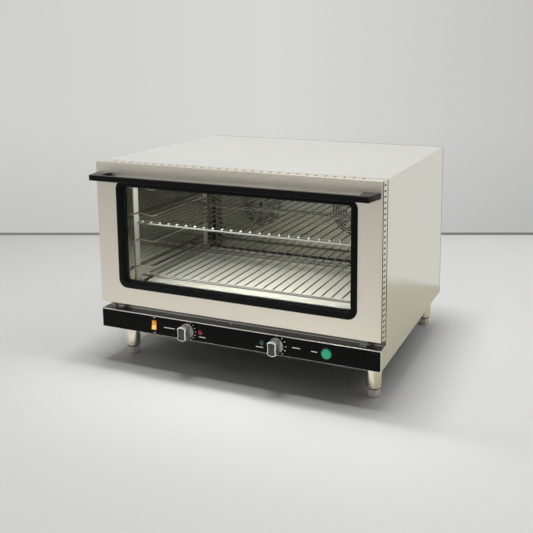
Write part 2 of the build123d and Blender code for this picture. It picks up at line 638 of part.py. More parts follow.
def make_door_seal():
    """Heat-proof seal around the cavity's mouth, just clear of the shut door."""
    inner_w = CAVITY_WIDTH + 2 * SEAL_OFFSET
    inner_h = CAVITY_HEIGHT + 2 * SEAL_OFFSET
    outer = RectangleRounded(inner_w + 2 * SEAL_WIDTH, inner_h + 2 * SEAL_WIDTH, SEAL_WIDTH)
    inner = RectangleRounded(inner_w, inner_h, SEAL_OFFSET)
    seal = upright(outer - inner, INNER_PAN_Y + RUN, CASE_FRONT_Y, z=CAVITY_MID_Z)
    return chamfer(seal.edges().group_by(Axis.Y)[0], SEAL_ROUND)


def handle_slope(y):
    """Half length of the handle at a depth: its ends splay out towards the door."""
    return HANDLE_END + HANDLE_SPLAY * (y - HANDLE_FRONT_Y) / HANDLE_REACH


def make_handle_bar():
    """Long flat black bar across the top of the door, with slanted ends."""
    front = handle_slope(HANDLE_FRONT_Y)
    back = handle_slope(HANDLE_BAR_Y)
    plan = Polygon((-front, HANDLE_FRONT_Y), (front, HANDLE_FRONT_Y), (back, HANDLE_BAR_Y),
                   (-back, HANDLE_BAR_Y), align=None)
    bar = Pos(0, 0, HANDLE_TOP_Z - HANDLE_HEIGHT) * extrude(plan, HANDLE_HEIGHT)
    return fillet(bar.edges().group_by(Axis.Y)[0].filter_by(Axis.X), HANDLE_EDGE)


def make_handle_foot(side):
    """Stand-off between the bar and the door, splayed like the bar's end."""
    inner = HANDLE_END + HANDLE_SPLAY - HANDLE_FOOT
    plan = Polygon((handle_slope(HANDLE_BAR_Y), HANDLE_BAR_Y), (handle_slope(DOOR_FRONT_Y), DOOR_FRONT_Y),
                   (inner, DOOR_FRONT_Y), (inner + HANDLE_SPLAY / 2, HANDLE_BAR_Y), align=None)
    foot = Pos(0, 0, HANDLE_TOP_Z - HANDLE_HEIGHT) * extrude(plan, HANDLE_HEIGHT)
    foot = chamfer(foot.edges().group_by(Axis.Z)[0].group_by(Axis.X)[-1], HANDLE_EDGE)
    foot -= [prism_y(HANDLE_SCREW_R + PIN_PLAY, 6, x, DOOR_FRONT_Y - HANDLE_HEIGHT, DOOR_FRONT_Y + 1,
                     HANDLE_MID_Z) for x in handle_screw_places() if x > 0]
    if side < 0:
        return mirror(foot, Plane.YZ)
    return foot


def handle_screw_places():
    """Places along X of the screws that hold the handle's feet."""
    middle = HANDLE_END + HANDLE_SPLAY - HANDLE_FOOT / 2
    offsets = (-HANDLE_SCREW_PITCH / 2, HANDLE_SCREW_PITCH / 2)
    return [side * (middle + offset) for side in (-1, 1) for offset in offsets]


def make_handle_screws():
    """Screws from inside the door into the handle's feet."""
    screws = []
    for x in handle_screw_places():
        shank = prism_y(HANDLE_SCREW_R, 6, x, DOOR_FRONT_Y - HANDLE_HEIGHT + 1, DOOR_FRONT_Y + SKIN,
                        HANDLE_MID_Z)
        head = prism_y(2 * HANDLE_SCREW_R, 6, x, DOOR_FRONT_Y + SKIN, DOOR_FRONT_Y + 3 * SKIN,
                       HANDLE_MID_Z)
        screws.append(shank + head)
    return screws


def eye_plate(width_y, z_flat, x0, x1):
    """An upright hinge plate with a round eye about the pivot and a flat edge at z_flat."""
    low = min(PIVOT_Z, z_flat)
    high = max(PIVOT_Z, z_flat)
    y0 = PIVOT_Y - HINGE_EYE
    body = Pos(y0 + width_y / 2, (low + high) / 2) * Rectangle(width_y, high - low)
    eye = Pos(PIVOT_Y, PIVOT_Z) * Circle(HINGE_EYE)
    hole = Pos(PIVOT_Y, PIVOT_Z) * Circle(HINGE_PIN_R + PIN_PLAY)
    return sideways(body + eye - hole, x0, x1)


def make_hinge_leaves():
    """Leaves under the door's bottom edge that turn on the hinge pins."""
    x0 = HINGE_X
    x1 = x0 + HINGE_PLATE
    ear = eye_plate(2 * HINGE_EYE, DOOR_BOTTOM_Z, x0, x1)
    pad = block(x0 - HINGE_FOOT, x1, PIVOT_Y - HINGE_EYE, PIVOT_Y + HINGE_FOOT,
                DOOR_BOTTOM_Z - HINGE_PLATE, DOOR_BOTTOM_Z)
    return both_sides(ear + pad)


def make_hinge_brackets():
    """Fixed brackets on the shelf in front of the cavity."""
    x1 = HINGE_X - RUN
    x0 = x1 - HINGE_PLATE
    ear = eye_plate(2 * HINGE_EYE, SHELF_Z, x0, x1)
    foot = block(x0 - HINGE_FOOT, x1, PIVOT_Y - HINGE_EYE, PIVOT_Y + HINGE_FOOT,
                 SHELF_Z, SHELF_Z + HINGE_PLATE / 2)
    return both_sides(ear + foot)


def make_hinge_pins():
    """Headed pins through each leaf and bracket."""
    x0 = HINGE_X - RUN - HINGE_PLATE
    x1 = HINGE_X + HINGE_PLATE
    pin = bar_x(HINGE_PIN_R, x0 - 2, x1 + RUN, PIVOT_Y, PIVOT_Z)
    pin += bar_x(HINGE_PIN_R + 2, x1 + RUN, x1 + RUN + 2, PIVOT_Y, PIVOT_Z)
    return both_sides(pin)


def panel_cuts(y0, y1):
    """Holes through the control panel for everything that is set into it."""
    cuts = [prism_y(SPINDLE_R + 2, 16, side * KNOB_X, y0, y1, CONTROL_Z) for side in (-1, 1)]
    cuts += [prism_y(LAMP_R, 16, x, y0, y1, CONTROL_Z) for x in (POWER_LAMP_X, HEATING_LAMP_X)]
    cuts.append(prism_y(steam_body_radius(), ROUND_SIDES, STEAM_X, y0, y1, CONTROL_Z))
    width, height = switch_body_size()
    cuts.append(block(SWITCH_X - width / 2, SWITCH_X + width / 2, y0, y1,
                      CONTROL_Z - height / 2, CONTROL_Z + height / 2))
    return cuts


def steam_body_radius():
    """Radius of the steam switch's barrel: halfway between its button and its bezel's rim."""
    return (STEAM_BUTTON_R + STEAM_BEZEL_R) / 2


def switch_body_size():
    """Width and height of the rocker switch's body behind its bezel."""
    return SWITCH_BEZEL_WIDTH - 2 * OVERLAY_MARGIN, SWITCH_BEZEL_HEIGHT - 2 * OVERLAY_MARGIN


def make_control_housing():
    """Steel front and top of the control compartment, folded from one sheet."""
    outer = block(-INNER_HALF, INNER_HALF, DOOR_FRONT_Y, CASE_FRONT_Y, CASE_BOTTOM_Z, SHELF_Z)
    front_top = outer.edges().filter_by(Axis.X).group_by(Axis.Z)[-1].group_by(Axis.Y)[0]
    outer = fillet(front_top, SKIN)
    inner = block(-INNER_HALF - 1, INNER_HALF + 1, HOUSING_BACK_Y, CASE_FRONT_Y + 1,
                  CASE_BOTTOM_Z - 1, SHELF_Z - SKIN)
    return outer - inner - panel_cuts(DOOR_FRONT_Y - 1, HOUSING_BACK_Y + 1)


def make_control_overlay():
    """Black glossy face of the control panel."""
    half = INNER_HALF - OVERLAY_MARGIN / 2
    sheet = block(-half, half, OVERLAY_Y, DOOR_FRONT_Y, CASE_BOTTOM_Z + OVERLAY_MARGIN,
                  SHELF_Z - OVERLAY_MARGIN)
    return sheet - panel_cuts(OVERLAY_Y - 1, DOOR_FRONT_Y + 1)


def rocker_pivot_y():
    """Depth of the axis that the rocker tips on."""
    return OVERLAY_Y + ROCKER_PIVOT_DEPTH


def make_power_switch():
    """Rocker switch body with its bezel and the pocket that the rocker tips in."""
    width, height = switch_body_size()
    bezel = block(-SWITCH_BEZEL_WIDTH / 2, SWITCH_BEZEL_WIDTH / 2, OVERLAY_Y - SWITCH_BEZEL, OVERLAY_Y,
                  -SWITCH_BEZEL_HEIGHT / 2, SWITCH_BEZEL_HEIGHT / 2)
    bezel = chamfer(bezel.edges().group_by(Axis.Y)[0], SWITCH_BEZEL / 2)
    back = HOUSING_BACK_Y + 18
    body = block(-width / 2, width / 2, OVERLAY_Y, back, -height / 2, height / 2)
    half_w = ROCKER_WIDTH / 2 + RUN
    half_h = ROCKER_RADIUS + RUN
    pocket = block(-half_w, half_w, OVERLAY_Y - SWITCH_BEZEL - 1, rocker_pivot_y() + 7, -half_h, half_h)
    switch = bezel + body - pocket
    return Pos(SWITCH_X, 0, CONTROL_Z) * switch


def make_power_rocker():
    """Amber rocker, resting with its top pressed in."""
    pivot = rocker_pivot_y()
    face = OVERLAY_Y - SWITCH_BEZEL
    reach = ROCKER_RADIUS + 2
    profile = Polygon((face - ROCKER_PROUD, reach), (face, 0), (face - ROCKER_PROUD, -reach),
                      (pivot + 3, -reach), (pivot + 3, reach), align=None)
    rim = Pos(pivot, 0) * Circle(ROCKER_RADIUS)
    rocker = sideways(profile & rim, -ROCKER_WIDTH / 2, ROCKER_WIDTH / 2)
    turned = Pos(0, pivot, 0) * Rot(-ROCKER_TILT, 0, 0) * Pos(0, -pivot, 0) * rocker
    return Pos(SWITCH_X, 0, CONTROL_Z) * turned


def make_spindle(x):
    """Spindle that joins a knob to the regulator behind the panel."""
    return bar_y(SPINDLE_R, x, OVERLAY_Y - KNOB_GAP - SPINDLE_REACH, HOUSING_BACK_Y + 10, CONTROL_Z)


def make_knob(x):
    """Knob with a round skirt and a waisted grip across it."""
    back = OVERLAY_Y - KNOB_GAP
    skirt = bar_y(KNOB_SKIRT_R, 0, back - KNOB_SKIRT, back, 0)
    skirt = chamfer(skirt.edges().group_by(Axis.Y)[0], KNOB_ROUND)
    half = KNOB_GRIP_WIDTH / 2
    waist = KNOB_WAIST / 2
    end = KNOB_SKIRT_R * 0.97
    side_z = sqrt(end ** 2 - half ** 2)
    top = ThreePointArc((half, side_z), (0, end), (-half, side_z))
    left = ThreePointArc((-half, side_z), (-waist, 0), (-half, -side_z))
    bottom = ThreePointArc((-half, -side_z), (0, -end), (half, -side_z))
    right = ThreePointArc((half, -side_z), (waist, 0), (half, side_z))
    grip = upright(make_face(top + left + bottom + right), back - KNOB_SKIRT - KNOB_GRIP,
                   back - KNOB_SKIRT)
    grip = chamfer(grip.edges().group_by(Axis.Y)[0], KNOB_ROUND)
    bore = bar_y(SPINDLE_R + PIN_PLAY, 0, back - SPINDLE_REACH - 1, back + 1, 0)
    return Pos(x, 0, CONTROL_Z) * (skirt + grip - bore)


def make_regulator(x, width, depth):
    """Timer or thermostat body on the back of the panel, with its spindle's bore."""
    y1 = HOUSING_BACK_Y + depth
    half = width / 2
    body = block(x - half, x + half, HOUSING_BACK_Y, y1, CONTROL_Z - half, CONTROL_Z + half)
    body = chamfer(body.edges().filter_by(Axis.Y), 4)
    bore = bar_y(SPINDLE_R + PIN_PLAY, x, DOOR_FRONT_Y - 1, HOUSING_BACK_Y + 11, CONTROL_Z)
    collar = prism_y(SPINDLE_R + 1.7, 16, x, DOOR_FRONT_Y, HOUSING_BACK_Y + 1, CONTROL_Z)
    return body + collar - bore


def make_thermostat_bulb():
    """Sensing bulb of the thermostat, clipped to the back wall above the fans."""
    y = CAVITY_BACK_Y - 12
    z = CAVITY_TOP_Z - 24
    bulb = bar_x(SPINDLE_R, -60, 60, y, z)
    for x in (-40, 40):
        bulb += block(x - 4, x + 4, y, CAVITY_BACK_Y, z - 2, z + 2)
    return bulb


def make_steam_switch():
    """Barrel and raised bezel of the steam push button."""
    bezel = prism_y(STEAM_BEZEL_R, ROUND_SIDES, STEAM_X, OVERLAY_Y - STEAM_BEZEL, OVERLAY_Y, CONTROL_Z)
    bezel = chamfer(bezel.edges().group_by(Axis.Y)[0], STEAM_BEZEL / 2)
    barrel = prism_y(steam_body_radius() - PIN_PLAY, ROUND_SIDES, STEAM_X, OVERLAY_Y,
                     HOUSING_BACK_Y + 20, CONTROL_Z)
    pocket = prism_y(STEAM_BUTTON_R + RUN, ROUND_SIDES, STEAM_X, OVERLAY_Y - STEAM_BEZEL - 1,
                     HOUSING_BACK_Y + 16, CONTROL_Z)
    return bezel + barrel - pocket


def make_steam_button():
    """Green push button, proud of its bezel."""
    front = OVERLAY_Y - STEAM_BEZEL - STEAM_PROUD
    back = HOUSING_BACK_Y + 16 - STEAM_TRAVEL - RUN
    button = prism_y(STEAM_BUTTON_R, ROUND_SIDES, STEAM_X, front, back, CONTROL_Z)
    return chamfer(button.edges().group_by(Axis.Y)[0], STEAM_PROUD / 2)


def make_lamp(x):
    """Indicator lamp: a domed lens with a thin rim, and its body through the panel."""
    body = prism_y(LAMP_R - PIN_PLAY, 16, x, OVERLAY_Y, HOUSING_BACK_Y + 16, CONTROL_Z)
    rim = prism_y(LAMP_R + 1, 16, x, OVERLAY_Y - LAMP_FLANGE, OVERLAY_Y, CONTROL_Z)
    dome = prism_y(LAMP_R - 0.6, 16, x, OVERLAY_Y - LAMP_FLANGE - 2.5, OVERLAY_Y - LAMP_FLANGE, CONTROL_Z)
    dome = chamfer(dome.edges().group_by(Axis.Y)[0], LAMP_FLANGE)
    return body + rim + dome


def fan_place(side):
    """Centre line of one fan."""
    return side * FAN_X, CAVITY_MID_Z


def make_fan(side):
    """Centrifugal fan wheel: a back disc, raked blades, a front hoop and a hub."""
    disc = extrude(RegularPolygon(FAN_R, ROUND_SIDES), FAN_BLADE)
    hub = extrude(RegularPolygon(FAN_HUB_R, 12), FAN_DEPTH * 0.7)
    blade = Box(FAN_BLADE_LENGTH, FAN_BLADE, FAN_DEPTH, align=(Align.MAX, Align.CENTER, Align.MIN))
    blades = []
    for i in range(FAN_BLADES):
        turn = Rot(0, 0, 360 / FAN_BLADES * i)
        blades.append(turn * Pos(FAN_R - 3, 0, 0) * Rot(0, 0, 18) * blade)
    wheel = disc + hub + blades - Pos(0, 0, -1) * extrude(RegularPolygon(SHAFT_R + PIN_PLAY, 16), FAN_DEPTH)
    x, z = fan_place(side)
    return Pos(x, FAN_BACK_Y, z) * Rot(90, 0, 0) * wheel


def make_fan_shaft(side):
    """Motor shaft with the nut that holds the fan wheel on it."""
    x, z = fan_place(side)
    nut_y = FAN_BACK_Y - FAN_DEPTH * 0.7
    shaft = prism_y(SHAFT_R, 16, x, nut_y - 5, FAN_BACK_Y, z)
    shaft += bar_y(SHAFT_R, x, FAN_BACK_Y, LINER_BACK_Y + MOTOR_LENGTH / 2, z)
    nut = upright(RegularPolygon(SHAFT_R + 4, 6), nut_y - 5, nut_y, x=x, z=z)
    return shaft + nut


def make_fan_motors():
    """Two shaded-pole motors on plates behind the cavity."""
    motors = []
    for side in (-1, 1):
        x, z = fan_place(side)
        half = MOTOR_PLATE / 2
        plate = block(x - half, x + half, LINER_BACK_Y, LINER_BACK_Y + 2, z - half, z + half)
        can = prism_y(MOTOR_R, 16, x, LINER_BACK_Y + 2, LINER_BACK_Y + MOTOR_LENGTH, z)
        can = chamfer(can.edges().group_by(Axis.Y)[-1], 4)
        bore = bar_y(SHAFT_R + PIN_PLAY, x, LINER_BACK_Y - 1, LINER_BACK_Y + MOTOR_LENGTH / 2 + 1, z)
        motors.append(plate + can - bore)
    return motors


def element_leads():
    """Places where the heating elements' leads pass the back wall."""
    angle = radians(ELEMENT_GAP_ANGLE)
    reach = ELEMENT_LOOP_R * sin(angle)
    z = CAVITY_MID_Z + ELEMENT_LOOP_R * cos(angle)
    return [(side * FAN_X + hand * reach, z) for side in (-1, 1) for hand in (-1, 1)]


def make_heating_elements():
    """Ring elements around the fans, their two ends turned back through the wall."""
    elements = []
    sweep_angle = 360 - 2 * ELEMENT_GAP_ANGLE
    for side in (-1, 1):
        x, z = fan_place(side)
        points = []
        for i in range(RING_SIDES + 1):
            angle = radians(ELEMENT_GAP_ANGLE + sweep_angle * i / RING_SIDES)
            points.append((x + ELEMENT_LOOP_R * sin(angle), ELEMENT_Y, z + ELEMENT_LOOP_R * cos(angle)))
        behind = INSULATION_BACK_Y + 2 * ELEMENT_R
        ends = [(places[0], behind, places[2]) for places in (points[0], points[-1])]
        path = Polyline(ends[0], *points, ends[1])
        section = Plane(origin=path @ 0, z_dir=path % 0) * RegularPolygon(ELEMENT_R, 8)
        elements.append(sweep(section, path=path, transition=Transition.RIGHT))
    return elements


def make_exhaust_vent():
    """Short flue from the top of the cavity out through the rear panel, with a sleeve on its end."""
    flue = bar_y(EXHAUST_R - RUN, EXHAUST_X, LINER_BACK_Y, CASE_BACK_Y, EXHAUST_Z)
    flue += bar_y(EXHAUST_R, EXHAUST_X, CASE_BACK_Y, REAR_END_Y, EXHAUST_Z)
    return flue - bar_y(EXHAUST_R - EXHAUST_WALL, EXHAUST_X, LINER_BACK_Y - 1, REAR_END_Y + 1, EXHAUST_Z)


def make_water_valve():
    """Solenoid valve for the steam water, with its threaded inlet through the rear panel."""
    y0 = CASE_BACK_Y - SKIN - 14
    inlet = bar_y(VALVE_THREAD_R, VALVE_X, CASE_BACK_Y, REAR_END_Y, SERVICE_AXIS_Z)
    inlet += bar_y(VALVE_THREAD_R - RUN, VALVE_X, y0, CASE_BACK_Y, SERVICE_AXIS_Z)
    inlet -= prism_y(VALVE_THREAD_R - 4, 16, VALVE_X, CASE_BACK_Y, REAR_END_Y + 1, SERVICE_AXIS_Z)
    collar = upright(RegularPolygon(VALVE_THREAD_R + 6, 6), CASE_BACK_Y - SKIN - 6, CASE_BACK_Y - SKIN,
                     x=VALVE_X, z=SERVICE_AXIS_Z)
    body = block(VALVE_X - 18, VALVE_X + 18, STEAM_PIPE_Y - 12, y0, SERVICE_AXIS_Z - 16, SERVICE_AXIS_Z + 16)
    spout = bar_z(STEAM_PIPE_R + 3, VALVE_X, STEAM_PIPE_Y, SERVICE_AXIS_Z + 16, SERVICE_AXIS_Z + 26)
    return inlet + collar + body + spout


def make_steam_pipe():
    """Steel pipe from the valve up and into the space behind the baffle."""
    start = SERVICE_AXIS_Z + 26
    points = [(VALVE_X, STEAM_PIPE_Y, start), (VALVE_X, STEAM_PIPE_Y, STEAM_PIPE_Z),
              (0, STEAM_PIPE_Y, STEAM_PIPE_Z), (0, ELEMENT_Y, STEAM_PIPE_Z)]
    path = Polyline(*points)
    section = Plane(origin=path @ 0, z_dir=path % 0) * RegularPolygon(STEAM_PIPE_R, 8)
    return sweep(section, path=path, transition=Transition.RIGHT)


def make_cable_gland():
    """Gland for the mains lead: a nut inside, a hexagon outside and a cap with a bevelled end."""
    z = SERVICE_AXIS_Z
    y1 = CASE_BACK_Y
    gland = prism_y(GLAND_R, 16, GLAND_X, y1 - SKIN - 8, y1 + 3, z)
    gland += prism_y(GLAND_R + 4, 6, GLAND_X, y1 - SKIN - 6, y1 - SKIN, z)
    gland += prism_y(GLAND_R + 4, 6, GLAND_X, y1, y1 + 7, z)
    cap = prism_y(GLAND_R + 1, 16, GLAND_X, y1 + 7, REAR_END_Y, z)
    gland += chamfer(cap.edges().group_by(Axis.Y)[-1], 3)
    return gland - bar_y(GLAND_BORE_R, GLAND_X, y1 - 3 * REAR_REACH, REAR_END_Y + 1, z)


def make_terminal_block():
    """Mains terminal block on the base pan beside the gland."""
    x = GLAND_X + 60
    y = CASE_BACK_Y - 40
    block_body = block(x - 34, x + 34, y - 12, y + 12, BASE_TOP_Z, BASE_TOP_Z + 22)
    wells = [block(x + dx - 3, x + dx + 3, y - 4, y + 4, BASE_TOP_Z + 12, BASE_TOP_Z + 23)
             for dx in spread(5, 48)]
    return block_body - wells


def leg_places():
    """Centres of the four legs."""
    return [(x, y) for y in (LEG_FRONT_Y, LEG_REAR_Y) for x in (-LEG_X, LEG_X)]


def make_leg(x, y):
    """One turned leg: a tube with a bevelled foot and a stud into the base pan."""
    height = LEG_HEIGHT - FOOT_RISE
    body = Cylinder(LEG_R, height, align=(Align.CENTER, Align.CENTER, Align.MIN))
    body = chamfer(body.edges().group_by(Axis.Z)[0], LEG_BEVEL)
    bore = Cylinder(FOOT_STEM_R + PIN_PLAY, FOOT_STEM + 4, align=(Align.CENTER, Align.CENTER, Align.MIN))
    stud = Pos(0, 0, height) * extrude(RegularPolygon(LEG_STUD_R, 12), LEG_STUD_LENGTH)
    return Pos(x, y, FOOT_RISE) * (body - bore + stud)


def make_foot(x, y):
    """One adjustable foot: a hexagon with a narrower tip, and a stem up into the leg."""
    top = FOOT_RISE - RUN
    base = extrude(RegularPolygon(FOOT_HEX / 2, 6, major_radius=False), top)
    base = chamfer(base.edges().group_by(Axis.Z)[0], FOOT_TIP)
    stem = Cylinder(FOOT_STEM_R, top + FOOT_STEM, align=(Align.CENTER, Align.CENTER, Align.MIN))
    return Pos(x, y, 0) * (base + stem)


def make_nodes():
    """Every sub-part by name."""
    feet = dict(zip(("foot_front_left", "foot_front_right", "foot_rear_left", "foot_rear_right"),
                    [make_foot(x, y) for x, y in leg_places()]))
    return {
        "outer_wrap": make_outer_wrap(),
        "rear_panel": make_rear_panel(),
        "casing_screws": make_casing_screws(),
        "base_pan": make_base_pan(),
        "front_frame": make_front_frame(),
        "cavity_liner": make_cavity_liner(),
        "insulation_blanket": make_insulation(),
        "cavity_supports": make_cavity_supports(),
        "fan_baffle": make_fan_baffle(),
        "baffle_standoffs": make_baffle_standoffs(),
        "floor_plate": make_floor_plate(),
        "rack_guide_left": make_rack_guide(-1),
        "rack_guide_right": make_rack_guide(1),
        "upper_rack": make_rack(UPPER_RACK_SET_BACK, 2),
        "lower_rack": make_rack(LOWER_RACK_SET_BACK, 0),
        "door_seal": make_door_seal(),
        "door_outer_frame": make_door_outer_frame(),
        "door_inner_frame": make_door_inner_frame(),
        "window_gasket": make_window_gasket(),
        "door_outer_glass": make_pane(OUTER_GLASS_Y),
        "door_inner_glass": make_pane(INNER_GLASS_Y),
        "glass_spacer": make_glass_spacer(),
        "handle_bar": make_handle_bar(),
        "handle_foot_left": make_handle_foot(-1),
        "handle_foot_right": make_handle_foot(1),
        "handle_screws": make_handle_screws(),
        "hinge_leaves": make_hinge_leaves(),
        "hinge_brackets": make_hinge_brackets(),
        "hinge_pins": make_hinge_pins(),
        "control_housing": make_control_housing(),
        "control_overlay": make_control_overlay(),
        "power_switch": make_power_switch(),
        "power_rocker": make_power_rocker(),
        "timer": make_regulator(-KNOB_X, 44.0, 32.0),
        "timer_spindle": make_spindle(-KNOB_X),
        "timer_knob": make_knob(-KNOB_X),
        "thermostat": make_regulator(KNOB_X, 40.0, 30.0),
        "thermostat_spindle": make_spindle(KNOB_X),
        "temperature_knob": make_knob(KNOB_X),
        "thermostat_bulb": make_thermostat_bulb(),
        "steam_switch": make_steam_switch(),
        "steam_button": make_steam_button(),
        "power_lamp": make_lamp(POWER_LAMP_X),
        "heating_lamp": make_lamp(HEATING_LAMP_X),
        "legs": [make_leg(x, y) for x, y in leg_places()],
        **feet,
        "fan_motors": make_fan_motors(),
        "fan_left": make_fan(-1),
        "fan_right": make_fan(1),
        "fan_shaft_left": make_fan_shaft(-1),
        "fan_shaft_right": make_fan_shaft(1),
        "heating_elements": make_heating_elements(),
        "steam_pipe": make_steam_pipe(),
        "water_valve": make_water_valve(),
        "exhaust_vent": make_exhaust_vent(),
        "cable_gland": make_cable_gland(),
        "terminal_block": make_terminal_block(),
    }


def main():
    """Write one STEP file for each sub-part."""
    os.makedirs("parts", exist_ok=True)
    for name, shape in make_nodes().items():
        solids = shape if isinstance(shape, list) else [shape]
        found = [solid for piece in solids for solid in piece.solids()]
        whole = found[0] if len(found) == 1 else Compound(children=found)
        export_step(whole, f"parts/{name}.step")


main()
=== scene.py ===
"""Looks of a countertop convection oven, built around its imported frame.

Sizes are in millimetres, in the frame's own axes: x to the right, y to the back, z up.
"""

from __future__ import annotations

import json
import logging
import math
from contextlib import contextmanager
from dataclasses import dataclass, field
from enum import Enum
from typing import Callable, Iterator, Sequence

import bpy
from mathutils import Matrix, Vector

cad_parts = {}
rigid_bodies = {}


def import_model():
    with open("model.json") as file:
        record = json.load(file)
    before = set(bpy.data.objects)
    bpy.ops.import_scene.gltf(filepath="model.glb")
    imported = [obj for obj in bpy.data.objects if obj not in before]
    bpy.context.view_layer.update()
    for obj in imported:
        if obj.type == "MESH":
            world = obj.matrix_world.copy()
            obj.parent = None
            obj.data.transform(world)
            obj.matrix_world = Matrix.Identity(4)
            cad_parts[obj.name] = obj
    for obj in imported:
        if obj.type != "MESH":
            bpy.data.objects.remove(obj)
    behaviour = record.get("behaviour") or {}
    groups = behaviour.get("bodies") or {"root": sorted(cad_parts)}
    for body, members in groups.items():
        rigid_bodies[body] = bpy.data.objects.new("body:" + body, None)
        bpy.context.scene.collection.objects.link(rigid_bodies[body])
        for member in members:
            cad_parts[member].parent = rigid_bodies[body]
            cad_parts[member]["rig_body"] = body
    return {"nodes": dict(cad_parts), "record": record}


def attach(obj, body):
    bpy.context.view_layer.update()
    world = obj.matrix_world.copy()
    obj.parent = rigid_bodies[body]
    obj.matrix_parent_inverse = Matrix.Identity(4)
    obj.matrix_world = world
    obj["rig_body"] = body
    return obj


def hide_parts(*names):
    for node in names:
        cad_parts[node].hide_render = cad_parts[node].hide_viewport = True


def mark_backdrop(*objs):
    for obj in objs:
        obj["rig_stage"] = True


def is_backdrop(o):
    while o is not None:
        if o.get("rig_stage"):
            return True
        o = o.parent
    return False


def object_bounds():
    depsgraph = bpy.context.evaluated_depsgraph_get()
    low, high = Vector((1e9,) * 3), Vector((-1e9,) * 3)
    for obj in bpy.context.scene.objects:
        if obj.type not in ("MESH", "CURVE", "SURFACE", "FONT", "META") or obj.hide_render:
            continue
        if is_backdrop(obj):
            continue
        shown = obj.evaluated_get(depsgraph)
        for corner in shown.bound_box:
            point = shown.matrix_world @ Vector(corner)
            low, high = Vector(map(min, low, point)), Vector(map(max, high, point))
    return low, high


LOG = logging.getLogger("oven")
MM = 0.001

Place = tuple[float, float, float]
Colour = tuple[float, float, float]
Face = bpy.types.MeshPolygon
Socket = bpy.types.NodeSocket
Test = Callable[[Face], bool]

CASE_HALF = 406.0
CASE_TOP = 568.0
SHELF_Z = 154.0
OVERLAY_Y = -304.5
CONTROL_Z = 127.7
SKIN = 1.2
ROD_WELD = 0.02
NODE_WELD = 0.004
FLAT_ANGLE = 0.5
BEND_STEP = 15.0
LETTER_SCALE = 1.4
COAT_ROUGHNESS = 0.08


class Grain(Enum):
    """Brush lines per metre along x, y and z: few along a sheet's grain and many across it."""

    ALONG_X = (4.0, 620.0, 620.0)
    ALONG_Y = (620.0, 5.0, 620.0)
    ALONG_Z = (620.0, 620.0, 5.0)
    NONE = (55.0, 55.0, 55.0)


class Facing(Enum):
    """Where the axis of a turned piece points, as the turn about x that takes it there from upright."""

    UP = 0.0
    FRONT = 90.0
    BACK = -90.0

    def matrix(self) -> Matrix:
        """Gives the turn from upright."""
        return Matrix.Rotation(math.radians(self.value), 4, "X")


def metres(place: Sequence[float]) -> Vector:
    """Gives a place in metres from one in millimetres."""
    return Vector(place) * MM


def opaque(colour: Colour) -> tuple[float, float, float, float]:
    """Adds the full alpha that a shader's colour socket takes."""
    return (*colour, 1.0)


def deselect_all() -> None:
    """Deselects everything, so that the next tool acts on its own piece alone."""
    bpy.ops.object.select_all(action="DESELECT")


@dataclass
class Wiring:
    """The nodes of one material, world or node group, and the links between them."""

    nodes: bpy.types.Nodes
    links: bpy.types.NodeLinks

    def noise(self, at: Socket, scale: float, detail: float) -> Socket:
        """Adds noise of one scale and detail, and gives its value."""
        noise = self.nodes.new("ShaderNodeTexNoise")
        noise.inputs["Scale"].default_value = scale
        noise.inputs["Detail"].default_value = detail
        self.links.new(at, noise.inputs["Vector"])
        return noise.outputs["Fac"]

    def blend(self, mask: Socket, first: Socket, second: Socket) -> Socket:
        """Mixes two shaders.

        Args:
            mask: 0 where the first one shows, 1 where the second one does.
            first: The one shader.
            second: The other shader.

        Returns:
            The mixture.
        """
        choice = self.nodes.new("ShaderNodeMixShader")
        self.links.new(mask, choice.inputs["Fac"])
        self.links.new(first, choice.inputs[1])
        self.links.new(second, choice.inputs[2])
        return choice.outputs["Shader"]

    def seen_directly(self) -> Socket:
        """Gives 1 where the camera sees a backdrop, straight or by way of metal or glass."""
        path = self.nodes.new("ShaderNodeLightPath")
        seen = path.outputs["Is Camera Ray"]
        for way in ("Is Glossy Ray", "Is Transmission Ray"):
            either = self.nodes.new("ShaderNodeMath")
            either.operation = "MAXIMUM"
            self.links.new(seen, either.inputs[0])
            self.links.new(path.outputs[way], either.inputs[1])
            seen = either.outputs["Value"]
        return seen

    def show(self, shader: Socket, output: str = "ShaderNodeOutputMaterial") -> None:
        """Leads a shader to the output."""
        self.links.new(shader, self.nodes.new(output).inputs["Surface"])


def start_material(name: str) -> tuple[bpy.types.Material, Wiring]:
    """Makes an empty node material.

    Args:
        name: What the finish is called.

    Returns:
        The material and its wiring.
    """
    material = bpy.data.materials.new(name)
    material.use_nodes = True
    material.node_tree.nodes.clear()
    return material, Wiring(material.node_tree.nodes, material.node_tree.links)


GRAIN_SOCKETS = (
    ("Stretch", "INPUT", "NodeSocketVector"),
    ("Gloss Low", "INPUT", "NodeSocketFloat"),
    ("Gloss High", "INPUT", "NodeSocketFloat"),
    ("Light Colour", "INPUT", "NodeSocketColor"),
    ("Dark Colour", "INPUT", "NodeSocketColor"),
    ("Colour", "OUTPUT", "NodeSocketColor"),
    ("Roughness", "OUTPUT", "NodeSocketFloat"),
    ("Height", "OUTPUT", "NodeSocketFloat"),
)


